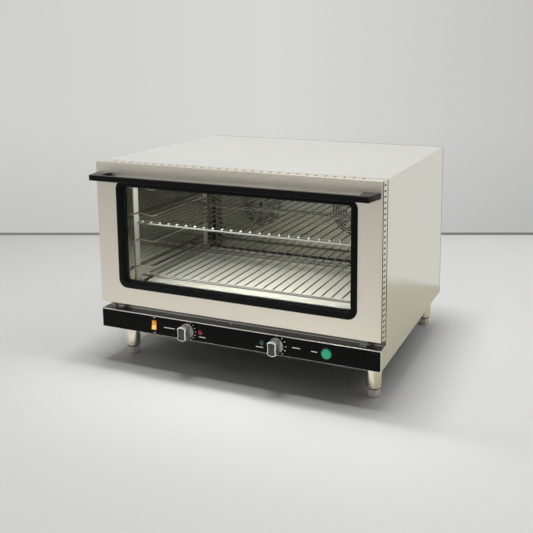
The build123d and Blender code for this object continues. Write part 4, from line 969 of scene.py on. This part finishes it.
@dataclass
class Cavity:
    """Polished cooking space: liner, slotted fan baffle, floor plate, rack carriers and racks."""

    baffle_y: float = 221.0
    face: float = 343.0
    strip_depth: float = 2.0
    strip_ys: tuple[float, float] = (-229.0, 149.0)
    strip_width: float = 22.0
    floor_z: float = 191.0
    top_z: float = 539.0
    rail_radius: float = 2.5
    rail_seat: float = 0.8
    rail_bend: float = 6.0
    rail_first: float = 232.7
    rail_pitch: float = 76.75
    rails: int = 4
    lead: float = 70.0
    lead_rise: float = 26.0
    rail_start: float = 12.0
    rail_inner: float = 333.25
    racks: tuple[WireRack, ...] = (
        WireRack("upper_rack", front=-243.0, rod_z=392.0),
        WireRack("lower_rack", front=-227.0, rod_z=238.5))

    def build(self, frame: Frame) -> None:
        """Builds and fits every piece of the cooking space."""
        liner = frame.dressed("cavity_liner", LINER_STEEL, flatten=False)
        liner.dress_faces(PAINTED_SHADE_BLACK, self.behind_baffle)
        frame.dressed("fan_baffle", BAFFLE_STEEL, angle=20.0, flatten=False)
        frame.dressed("floor_plate", PLATE_STEEL, edge=1.2)
        frame.dressed("baffle_standoffs", SCREW_STEEL)
        frame.dressed("door_seal", SEAL_RUBBER, flatten=False)
        self.build_guides(frame)
        for rack in self.racks:
            rack.build(frame)

    def behind_baffle(self, face: Face) -> bool:
        """Tells whether a face is the liner's back wall behind the baffle, made near-black as painted
        shade.
        """
        return face.normal.y < -0.9 and face.center.y > self.baffle_y * MM

    def build_guides(self, frame: Frame) -> None:
        """Builds the right carrier's uprights and bent rails, and mirrors them to the left."""
        inner = self.face - self.strip_depth
        parts = []
        for y in self.strip_ys:
            corner = (self.face, y + self.strip_width, self.top_z)
            parts.append(Piece.block("upright", (inner, y, self.floor_z), corner).soften(0.5))
        front, rear = self.strip_ys
        outer = inner - self.rail_radius * self.rail_seat
        lead_end = front + self.strip_width + self.lead
        start = self.rail_start
        for level in range(self.rails):
            z = self.rail_first + level * self.rail_pitch
            high = z + self.lead_rise
            path = [(outer, front - start, high), (outer, front + self.strip_width, high),
                    (outer, lead_end, z), (self.rail_inner, lead_end + start, z),
                    (self.rail_inner, rear - start, z), (outer, rear, z),
                    (outer, rear + self.strip_width, z)]
            parts.append(Piece.rod("rail", path, self.rail_radius, self.rail_bend))
        right = parts[0].joined(parts[1:]).smooth(50.0)
        right.obj.name = "rack_guide_right_rails"
        right.dress(CHROME)
        right.dress_faces(UPRIGHT_STEEL, self.on_upright)
        left = right.mirrored("rack_guide_left_rails")
        frame.fit(right, "rack_guide_right")
        frame.fit(left, "rack_guide_left")

    def on_upright(self, face: Face) -> bool:
        """Tells whether a face is on one of the flat uprights."""
        place = face.center / MM
        in_strip = any(y - 0.1 < place.y < y + self.strip_width + 0.1 for y in self.strip_ys)
        return in_strip and place.x > self.face - self.strip_depth - 0.1


@dataclass
class Door:
    """Drop-down door: slotted pan, double window with its gasket, handle and hinges.

    Each of the nodes has its finish and the width of its rounded edges.
    """

    seam_y: float = -299.5
    slot_ys: tuple[float, float] = (-295.0, -279.0)
    slots_start: float = 24.0
    # Place and size of the black sheet of painted shade behind the door's top slots.
    shade_sheet_ys: tuple[float, float] = (-299.5, -278.5)
    shade_sheet_depth: float = 2.0
    shade_sheet_half: float = 360.0
    shade_sheet_thickness: float = 0.5
    nodes: dict[str, tuple[Finish, float]] = field(default_factory=lambda: {
        "glass_spacer": (GASKET_RUBBER, 0.0),
        "handle_screws": (SCREW_STEEL, 0.3),
        "hinge_leaves": (SHADED_HINGE_STEEL, 0.4),
        "hinge_brackets": (SHADED_HINGE_STEEL, 0.4),
        "hinge_pins": (SHADED_HINGE_STEEL, 0.4),
    })

    def build(self, frame: Frame) -> None:
        """Builds and fits every piece of the door."""
        outer = frame.dressed("door_outer_frame", DOOR_STEEL, flatten=False)
        outer.creased((0.0, self.seam_y, 0.0), (0.0, 1.0, 0.0))
        # Painted shade: the slot walls, the seam and the inner pan's flange behind the slots are made
        # near-black.
        outer.dress_faces(PAINTED_SHADE_BLACK, self.in_slot)
        outer.dress_faces(PAINTED_SHADE_BLACK, self.in_seam)
        outer.dress_faces(SHADED_BEND_STEEL, self.on_bend)
        inner = frame.dressed("door_inner_frame", MILL_STEEL, flatten=False)
        inner.dress_faces(PAINTED_SHADE_BLACK, self.behind_slots)
        for node, (finish, edge) in self.nodes.items():
            frame.dressed(node, finish, edge, flatten=edge > 0)
        frame.dressed("window_gasket", GASKET_RUBBER, edge=0.5)
        for node in ("door_outer_glass", "door_inner_glass"):
            frame.dressed(node, GLASS, angle=10.0)
        for node in ("handle_bar", "handle_foot_left", "handle_foot_right"):
            frame.dressed(node, HANDLE_BLACK, edge=1.0, angle=20.0)
        self.build_shade_sheet(frame)

    def in_slot(self, face: Face) -> bool:
        """Tells whether a face of the outer pan is a wall of one of its slots; these walls get painted
        shade.
        """
        place = face.center / MM
        if not self.slot_ys[0] - 0.1 < place.y < self.slot_ys[1] + 0.1:
            return False
        side = abs(place.x)
        if place.z > CASE_TOP - SKIN:
            return abs(face.normal.z) < 0.5 and side < CASE_HALF - 2 * SKIN
        on_side = side > CASE_HALF - SKIN and abs(face.normal.x) < 0.5
        return on_side and SHELF_Z + self.slots_start < place.z < CASE_TOP - 2 * SKIN

    def in_seam(self, face: Face) -> bool:
        """Tells whether a face is in the seam at the front of the side flanges; the seam gets painted
        shade.
        """
        return abs(face.normal.x) > 0.5 and face.center.y < self.seam_y * MM and abs(face.center.x) > 0.4

    @staticmethod
    def on_bend(face: Face) -> bool:
        """Tells whether a face is part of the bend between the front and the top, which gets painted shade.
        """
        return face.normal.z > 0.15 and face.normal.y < -0.15 and face.center.z > (CASE_TOP - 6.0) * MM

    @staticmethod
    def behind_slots(face: Face) -> bool:
        """Tells whether a face of the inner pan is the side flange right behind the outer pan's slots; it
        gets painted shade.
        """
        return abs(face.normal.x) > 0.9 and abs(face.center.x) > (CASE_HALF - 1.5 * SKIN) * MM

    def build_shade_sheet(self, frame: Frame) -> None:
        """Builds a black sheet of painted shade inside the door, behind its slotted top, so that the slots
        look dark.
        """
        y0, y1 = self.shade_sheet_ys
        top = CASE_TOP - self.shade_sheet_depth
        side = self.shade_sheet_half
        shade_sheet = Piece.block("vent_shade_sheet", (-side, y0, top - self.shade_sheet_thickness), (side, y1, top))
        frame.fit(shade_sheet.dress(PAINTED_SHADE_BLACK), "window_gasket", replaces=False)


@dataclass
class Knob:
    """Waisted knob with a bright rim round a dark brushed face."""

    node: str
    x: float
    front: float = -335.6
    rim: float = 1.5
    sink: float = 0.5
    edge: float = 0.35
    bevel_depth: float = 1.4
    face_area: float = 50.0

    def build(self, frame: Frame) -> None:
        """Builds the knob and fits it."""
        knob = Piece.from_node(frame.nodes[self.node], f"{self.node}_dressed")
        knob.soften(self.edge, angle=25.0)
        knob.dress(KNOB_SILVER)
        knob.sink(self.on_front, self.rim, self.sink)
        inner = [face.index for face in knob.obj.data.polygons if face.select]
        knob.dress_faces(CHROME, self.on_rim)
        knob.dress_faces(KNOB_FACE, lambda face: face.index in inner)
        knob.smooth(30.0)
        frame.fit(knob, self.node)

    def on_front(self, face: Face) -> bool:
        """Tells whether a face is the flat front of the grip."""
        at_front = face.normal.y < -0.98 and face.center.y < (self.front + 0.2) * MM
        return at_front and face.area > self.face_area * MM * MM

    def on_rim(self, face: Face) -> bool:
        """Tells whether a face is part of the bevelled edge at the grip's front."""
        return face.center.y < (self.front + self.bevel_depth) * MM


@dataclass
class ControlPanel:
    """Control compartment: housing, black overlay, switch, knobs, lamps and steam button.

    A label is a bar, given by its x, its height above the knobs' axis and its width.
    """

    half: float = 404.2
    switch_x: float = -234.3
    timer_x: float = -130.5
    temperature_x: float = 130.5
    power_lamp_x: float = -91.5
    heating_lamp_x: float = 89.1
    steam_x: float = 267.0
    lamp_radius: float = 5.6
    button_front: float = -311.0
    shelf_ys: tuple[float, float] = (-301.6, -270.4)
    shelf_zs: tuple[float, float] = (153.9, 154.25)
    lip_ys: tuple[float, float] = (-304.6, -301.8)
    lip_zs: tuple[float, float] = (152.5, 154.4)
    lip_overhang: float = 0.6
    shelf_screw: tuple[float, float] = (-12.0, -282.0)
    print_depth: float = 0.15
    labels: tuple[tuple[float, float, float], ...] = (
        (-187.0, -1.5, 34.0), (-86.0, -12.2, 19.0), (82.1, -12.0, 20.0), (184.7, 1.0, 22.0),
        (233.0, -1.0, 16.0))
    label_height: float = 1.5
    mark_width: float = 1.3
    timer_marks: int = 8
    timer_step: float = 22.5
    timer_ring: float = 24.7
    timer_mark: float = 3.0
    dial_angles: tuple[float, ...] = (0.0, 37.0, 61.0, 90.0, 115.0, 141.0, 248.0, 270.0)
    dial_ring: float = 25.5
    dial_mark: float = 4.2
    switch_marks: tuple[tuple[str, float], ...] = (("ON", 21.3), ("OFF", -21.7))
    letter_height: float = 2.6

    def build(self, frame: Frame) -> None:
        """Builds and fits every piece of the control panel."""
        frame.dressed("control_housing", CASE_STEEL, flatten=False)
        frame.dressed("control_overlay", PANEL_BLACK, flatten=False)
        frame.dressed("power_switch", PLASTIC_BLACK, edge=0.4)
        rocker = frame.dressed("power_rocker", AMBER, edge=0.5)
        # The rocker's lower front facet gets the lighter amber: a painted highlight.
        rocker.dress_faces(AMBER_HIGHLIGHT, lambda face: face.center.z < CONTROL_Z * MM and face.normal.y < -0.5)
        self.build_shelf(frame)
        for knob in (Knob("timer_knob", self.timer_x), Knob("temperature_knob", self.temperature_x)):
            knob.build(frame)
        self.build_lamp(frame, "power_lamp", self.power_lamp_x, RED_LENS)
        self.build_lamp(frame, "heating_lamp", self.heating_lamp_x, GREEN_LENS)
        self.build_steam(frame)
        self.build_print(frame)

    def build_shelf(self, frame: Frame) -> None:
        """Builds the dark top of the compartment, its bright front lip and its screw."""
        half = self.half
        low, high = zip(self.shelf_ys, self.shelf_zs)
        shelf = Piece.block("shelf_cover", (-half, *low), (half, *high))
        frame.fit(shelf.dress(SHELF_GREY), "control_overlay", replaces=False)
        half += self.lip_overhang
        low, high = zip(self.lip_ys, self.lip_zs)
        lip = Piece.block("panel_lip", (-half, *low), (half, *high))
        lip.soften(0.6, segments=3)
        frame.fit(lip.dress(CASE_STEEL), "control_housing", replaces=False)
        head = [(3.4, 0.0), (3.4, 0.8), (2.4, 1.4), (0.8, 1.6)]
        screw = Piece.turned("shelf_screw", head, Facing.UP, (*self.shelf_screw, SHELF_Z + 0.1), sides=20)
        frame.fit(screw.smooth(40.0).dress(SCREW_STEEL), "control_overlay", replaces=False)

    def build_lamp(self, frame: Frame, node: str, x: float, finish: Finish) -> None:
        """Builds one indicator lamp, a low dome on a thin rim."""
        radius = self.lamp_radius
        profile = [(radius - 0.3, -1.0), (radius + 1.0, -0.2), (radius + 1.0, 0.6), (radius + 0.6, 1.0),
                   (radius - 0.6, 1.0), (radius - 0.7, 2.2), (radius - 1.6, 3.0), (radius - 3.0, 3.4),
                   (0.8, 3.5)]
        lamp = Piece.turned(f"{node}_dome", profile, Facing.FRONT, (x, OVERLAY_Y, CONTROL_Z), sides=32)
        frame.fit(lamp.smooth(40.0).dress(finish), node)

    def build_steam(self, frame: Frame) -> None:
        """Builds the steam button and its raised bezel."""
        bezel = frame.dressed("steam_switch", PLASTIC_BLACK, edge=0.6, angle=25.0)
        bezel.smooth(35.0)
        reach = OVERLAY_Y - self.button_front
        profile = [(12.6, -15.0), (12.6, reach - 1.5), (12.2, reach - 0.6), (11.2, reach), (8.4, reach),
                   (8.0, reach - 0.6), (7.4, reach - 0.6), (7.0, reach - 0.1), (3.0, reach), (0.8, reach)]
        at = (self.steam_x, OVERLAY_Y, CONTROL_Z)
        button = Piece.turned("steam_button_cap", profile, Facing.FRONT, at)
        frame.fit(button.smooth(30.0).dress(STEAM_GREEN), "steam_button")

    def build_print(self, frame: Frame) -> None:
        """Prints the dial marks, the switch marks and the plain label bars."""
        parts = [self.bar(x, CONTROL_Z + rise, width, self.label_height, 0.0)
                 for x, rise, width in self.labels]
        for index in range(self.timer_marks):
            parts.append(self.tick(self.timer_x, self.timer_ring, self.timer_step * index, self.timer_mark))
        for degrees in self.dial_angles:
            parts.append(self.tick(self.temperature_x, self.dial_ring, degrees, self.dial_mark))
        for words, rise in self.switch_marks:
            at = (self.switch_x, OVERLAY_Y, CONTROL_Z + rise)
            parts.append(Piece.lettering("switch_mark", words, self.letter_height, self.print_depth, at))
        marks = parts[0].joined(parts[1:])
        marks.obj.name = "panel_marks"
        frame.fit(marks.dress(PRINT_WHITE), "control_overlay", replaces=False)

    def bar(self, x: float, z: float, width: float, height: float, degrees: float) -> Piece:
        """Prints a plain bar about a place on the panel, turned clockwise by an angle."""
        half_w, half_h, half_d = width / 2, height / 2, self.print_depth
        bar = Piece.block("print_bar", (-half_w, -half_d, -half_h), (half_w, half_d, half_h))
        turn = Matrix.Rotation(math.radians(degrees), 4, "Y")
        bar.obj.data.transform(Matrix.Translation(metres((x, OVERLAY_Y, z))) @ turn)
        return bar

    def tick(self, x: float, radius: float, degrees: float, length: float) -> Piece:
        """Prints one dial mark round a knob, at an angle clockwise from the top."""
        angle = math.radians(degrees)
        z = CONTROL_Z + radius * math.cos(angle)
        return self.bar(x + radius * math.sin(angle), z, self.mark_width, length, degrees)


@dataclass
class Works:
    """What turns, heats and supplies behind the walls, and the fittings at the back.

    Each node has its finish, the width of its rounded edges and the angle past which an edge stays sharp.
    """

    nodes: dict[str, tuple[Finish, float, float]] = field(default_factory=lambda: {
        "fan_motors": (MILL_STEEL, 0.6, 30.0),
        "fan_left": (FAN_STEEL, 0.0, 30.0),
        "fan_right": (FAN_STEEL, 0.0, 30.0),
        "fan_shaft_left": (SCREW_STEEL, 0.0, 35.0),
        "fan_shaft_right": (SCREW_STEEL, 0.0, 35.0),
        "heating_elements": (ELEMENT_BLACK, 0.0, 50.0),
        "thermostat_bulb": (BRASS, 0.0, 35.0),
        "timer": (PLASTIC_BLACK, 0.5, 30.0),
        "thermostat": (PLASTIC_BLACK, 0.5, 30.0),
        "timer_spindle": (SCREW_STEEL, 0.0, 35.0),
        "thermostat_spindle": (SCREW_STEEL, 0.0, 35.0),
        "terminal_block": (PLASTIC_BLACK, 0.5, 30.0),
        "steam_pipe": (SCREW_STEEL, 0.0, 50.0),
        "water_valve": (BRASS, 0.4, 25.0),
        "exhaust_vent": (CASE_STEEL, 0.4, 25.0),
        "cable_gland": (PLASTIC_BLACK, 0.4, 25.0),
    })

    def build(self, frame: Frame) -> None:
        """Dresses every piece of the works."""
        for node, (finish, edge, angle) in self.nodes.items():
            frame.dressed(node, finish, edge, angle, flatten=edge > 0)


@dataclass(frozen=True)
class Lamp:
    """A soft lamp: its place and aim, its size in metres and its power in watts."""

    name: str
    at: Place
    aim: Place
    size: tuple[float, float]
    power: float
    inside: bool = False

    def hang(self) -> None:
        """Hangs the lamp, and hides it from view and from reflections if it is inside the cavity."""
        deselect_all()
        place = metres(self.at)
        turn = (metres(self.aim) - place).to_track_quat("-Z", "Y").to_euler()
        bpy.ops.object.light_add(type="AREA", location=place, rotation=turn)
        lamp = bpy.context.object
        lamp.name = self.name
        lamp.data.shape = "RECTANGLE"
        lamp.data.size, lamp.data.size_y = self.size
        lamp.data.energy = self.power
        if self.inside:
            lamp.visible_camera = False
            lamp.visible_transmission = False
            lamp.visible_glossy = False


@dataclass
class Studio:
    """Pale floor and wall, soft lamps and the camera."""

    camera_at: Place = (885.4, -1913.3, 875.6)
    camera_azimuth: float = 21.95
    camera_elevation: float = 8.75
    focal_pixels: float = 737.6
    image_width: float = 533.0
    sensor_width: float = 36.0
    shift: tuple[float, float] = (-0.092, -0.20)
    floor_size: tuple[float, float] = (18000.0, 18000.0)
    floor_colour: Colour = (0.66, 0.66, 0.65)
    wall_left: Place = (-1652.0, 695.0, 0.0)
    wall_right: Place = (536.0, 1581.0, 0.0)
    wall_reach: float = 5000.0
    wall_height: float = 4000.0
    wall_shade_strip: float = 12.0
    wall_light: float = 0.66
    shade_strip_light: float = 0.25
    # Painted light across the wall: lighter in the middle and darker to the right.
    wall_painted_light: tuple[Colour, Colour, Colour] = (
        (0.95, 0.95, 0.94), (1.04, 1.04, 1.02), (0.84, 0.84, 0.82))
    # Painted shade towards the wall's foot.
    shaded_height: float = 500.0
    shaded_light: float = 0.87
    card_left: Place = (430.0, 690.0, 0.0)
    card_right: Place = (3200.0, 690.0, 0.0)
    card_height: float = 2400.0
    card_light: Colour = (0.36, 0.36, 0.345)
    card_glow: float = 1.3
    mat_middle: Place = (1506.0, -6.0, 1.0)
    mat_size: tuple[float, float] = (2188.0, 1388.0)
    mat_light: Colour = (0.225, 0.218, 0.178)
    world_light: float = 0.08
    lamps: tuple[Lamp, ...] = (
        Lamp("overhead", (-60.0, -180.0, 4000.0), (-60.0, -180.0, 0.0), (1.2, 1.2), 101.0),
        Lamp("front_left", (-2300.0, -2000.0, 2400.0), (-300.0, 0.0, 100.0), (2.2, 2.2), 13.0),
        Lamp("back_right", (1700.0, 800.0, 2600.0), (900.0, 500.0, 0.0), (2.4, 2.4), 30.0),
        Lamp("cavity_top", (0.0, -246.0, 528.0), (0.0, -130.0, 200.0), (0.54, 0.04), 2.8, inside=True),
        Lamp("cavity_sill", (0.0, -262.0, 186.0), (0.0, -183.0, 204.0), (0.60, 0.01), 0.12, inside=True))

    def build(self) -> None:
        """Builds the studio round the oven."""
        self.build_floor()
        self.build_wall()
        self.build_card()
        for lamp in self.lamps:
            lamp.hang()
        self.build_world()
        self.place_camera()
        bpy.context.scene.view_settings.view_transform = "Standard"

    def build_floor(self) -> None:
        """Lays the pale floor."""
        floor = self.flat_sheet("floor", (0.0, 0.0, 0.0), self.floor_size)
        floor.dress(Finish("floor_grey", self.floor_colour, 0.55, specular=0.3))
        floor.obj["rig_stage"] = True

    def build_wall(self) -> None:
        """Stands the pale wall behind the oven, seen and lit from its front only, over a dark strip of
        painted shade.
        """
        ends = (self.wall_left, self.wall_right)
        wall = self.upright_sheet("wall", ends, (self.wall_shade_strip, self.wall_height), self.wall_reach)
        wall.obj.data.materials.append(self.wall_material(self.wall_light, "wall_paint"))
        shade_strip = self.upright_sheet("wall_shade_strip", ends, (0.0, self.wall_shade_strip), self.wall_reach)
        shade_strip.obj.data.materials.append(self.wall_material(self.shade_strip_light, "wall_gap_shade"))
        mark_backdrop(wall.obj, shade_strip.obj)

    def build_card(self) -> None:
        """Stands a pale card and lays a mat at the right, which only reflections in the casing show."""
        ends = (self.card_left, self.card_right)
        reach = (self.card_right[0] - self.card_left[0]) / 2
        card = self.upright_sheet("card", ends, (0.0, self.card_height), reach)
        card.dress(Finish("card_white", self.card_light, 1.0, specular=0.0, glow=self.card_glow))
        mat = self.flat_sheet("mat", self.mat_middle, self.mat_size)
        mat.dress(Finish("mat_grey", self.mat_light, 1.0, specular=0.0, glow=1.0))
        for sheet in (card.obj, mat.obj):
            sheet.visible_camera = False
            sheet.visible_diffuse = False
            sheet.visible_transmission = False
            sheet.visible_shadow = False
        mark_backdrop(card.obj, mat.obj)

    @staticmethod
    def flat_sheet(name: str, middle: Place, size: tuple[float, float]) -> Piece:
        """Lays a level sheet.

        Args:
            name: What the sheet is called.
            middle: Where its middle lies.
            size: Its width and depth.

        Returns:
            The sheet, facing up.
        """
        deselect_all()
        bpy.ops.mesh.primitive_plane_add(size=1.0)
        sheet = Piece.named(name)
        width, depth = size
        grown = Matrix.Diagonal((width * MM, depth * MM, 1.0, 1.0))
        sheet.obj.data.transform(Matrix.Translation(metres(middle)) @ grown)
        return sheet

    @staticmethod
    def upright_sheet(name: str, ends: tuple[Place, Place], heights: tuple[float, float],
                      reach: float) -> Piece:
        """Stands a sheet along a line on the floor.

        Args:
            name: What the sheet is called.
            ends: The line's left and right ends.
            heights: How high its bottom and top edges are.
            reach: How far it runs either way from the middle of the line.

        Returns:
            The sheet, facing the camera.
        """
        deselect_all()
        bpy.ops.mesh.primitive_plane_add(size=1.0)
        sheet = Piece.named(name)
        left = metres(ends[0])
        right = metres(ends[1])
        middle = (left + right) / 2
        along = (right - left).normalized()
        facing = along.cross(Vector((0.0, 0.0, 1.0)))
        low, high = (height * MM for height in heights)
        width = 2 * reach * MM
        place = Matrix((
            (along.x * width, 0.0, facing.x, middle.x),
            (along.y * width, 0.0, facing.y, middle.y),
            (0.0, high - low, 0.0, (low + high) / 2),
            (0.0, 0.0, 0.0, 1.0)))
        sheet.obj.data.transform(place)
        return sheet

    def wall_material(self, light: float, name: str) -> bpy.types.Material:
        """Makes a wall that shows soft pale shades from its front and nothing from its back; the shades are
        painted light, lighter in the middle and darker to the right and towards the foot.
        """
        material, wiring = start_material(name)
        nodes = wiring.nodes
        links = wiring.links
        paint = nodes.new("ShaderNodeBsdfDiffuse")
        paint.inputs["Color"].default_value = opaque((light, light, light))
        shade = nodes.new("ShaderNodeEmission")
        place = nodes.new("ShaderNodeTexCoord")
        parts = nodes.new("ShaderNodeSeparateXYZ")
        links.new(place.outputs["Object"], parts.inputs["Vector"])
        across = nodes.new("ShaderNodeMapRange")
        across.inputs["From Min"].default_value = self.wall_left[0] * MM
        across.inputs["From Max"].default_value = self.wall_right[0] * MM
        links.new(parts.outputs["X"], across.inputs["Value"])
        ramp = nodes.new("ShaderNodeValToRGB")
        stops = ramp.color_ramp.elements
        stops.new(0.5)
        for stop, tint in zip(stops, self.wall_painted_light):
            stop.color = opaque(tuple(light * part for part in tint))
        links.new(across.outputs["Result"], ramp.inputs["Fac"])
        links.new(ramp.outputs["Color"], shade.inputs["Color"])
        rise = nodes.new("ShaderNodeMapRange")
        rise.inputs["From Max"].default_value = self.shaded_height * MM
        rise.inputs["To Min"].default_value = self.shaded_light
        links.new(parts.outputs["Z"], rise.inputs["Value"])
        links.new(rise.outputs["Result"], shade.inputs["Strength"])
        front = wiring.blend(wiring.seen_directly(), paint.outputs["BSDF"], shade.outputs["Emission"])
        clear = nodes.new("ShaderNodeBsdfTransparent")
        side = nodes.new("ShaderNodeNewGeometry")
        wiring.show(wiring.blend(side.outputs["Backfacing"], front, clear.outputs["BSDF"]))
        return material

    def build_world(self) -> None:
        """Fills the room with plain light, and shows the wall's tone where the wall and floor end."""
        world = bpy.data.worlds.new("studio")
        bpy.context.scene.world = world
        world.use_nodes = True
        world.node_tree.nodes.clear()
        wiring = Wiring(world.node_tree.nodes, world.node_tree.links)
        fill = self.background(wiring, self.world_light)
        view = self.background(wiring, self.wall_light)
        wiring.show(wiring.blend(wiring.seen_directly(), fill, view), "ShaderNodeOutputWorld")

    @staticmethod
    def background(wiring: Wiring, light: float) -> Socket:
        """Adds one plain background of the world, and gives its output."""
        background = wiring.nodes.new("ShaderNodeBackground")
        background.inputs["Color"].default_value = opaque((light, light, light))
        return background.outputs["Background"]

    def place_camera(self) -> None:
        """Sets up the camera at the photograph's angle."""
        turn = (math.radians(90.0 - self.camera_elevation), 0.0, math.radians(self.camera_azimuth))
        bpy.ops.object.camera_add(location=metres(self.camera_at), rotation=turn)
        camera = bpy.context.object
        camera.data.sensor_width = self.sensor_width
        camera.data.lens = self.focal_pixels * camera.data.sensor_width / self.image_width
        camera.data.shift_x, camera.data.shift_y = self.shift
        camera.data.clip_end = 100.0
        bpy.context.scene.camera = camera


def main() -> None:
    """Builds the oven's looks and the studio."""
    logging.basicConfig(level=logging.INFO, format="%(message)s")
    frame = Frame.opened()
    for assembly in (Casing(), Cavity(), Door(), ControlPanel(), Works()):
        assembly.build(frame)
        LOG.info("%s is built", type(assembly).__name__)
    Studio().build()


if __name__ == "__main__":
    main()
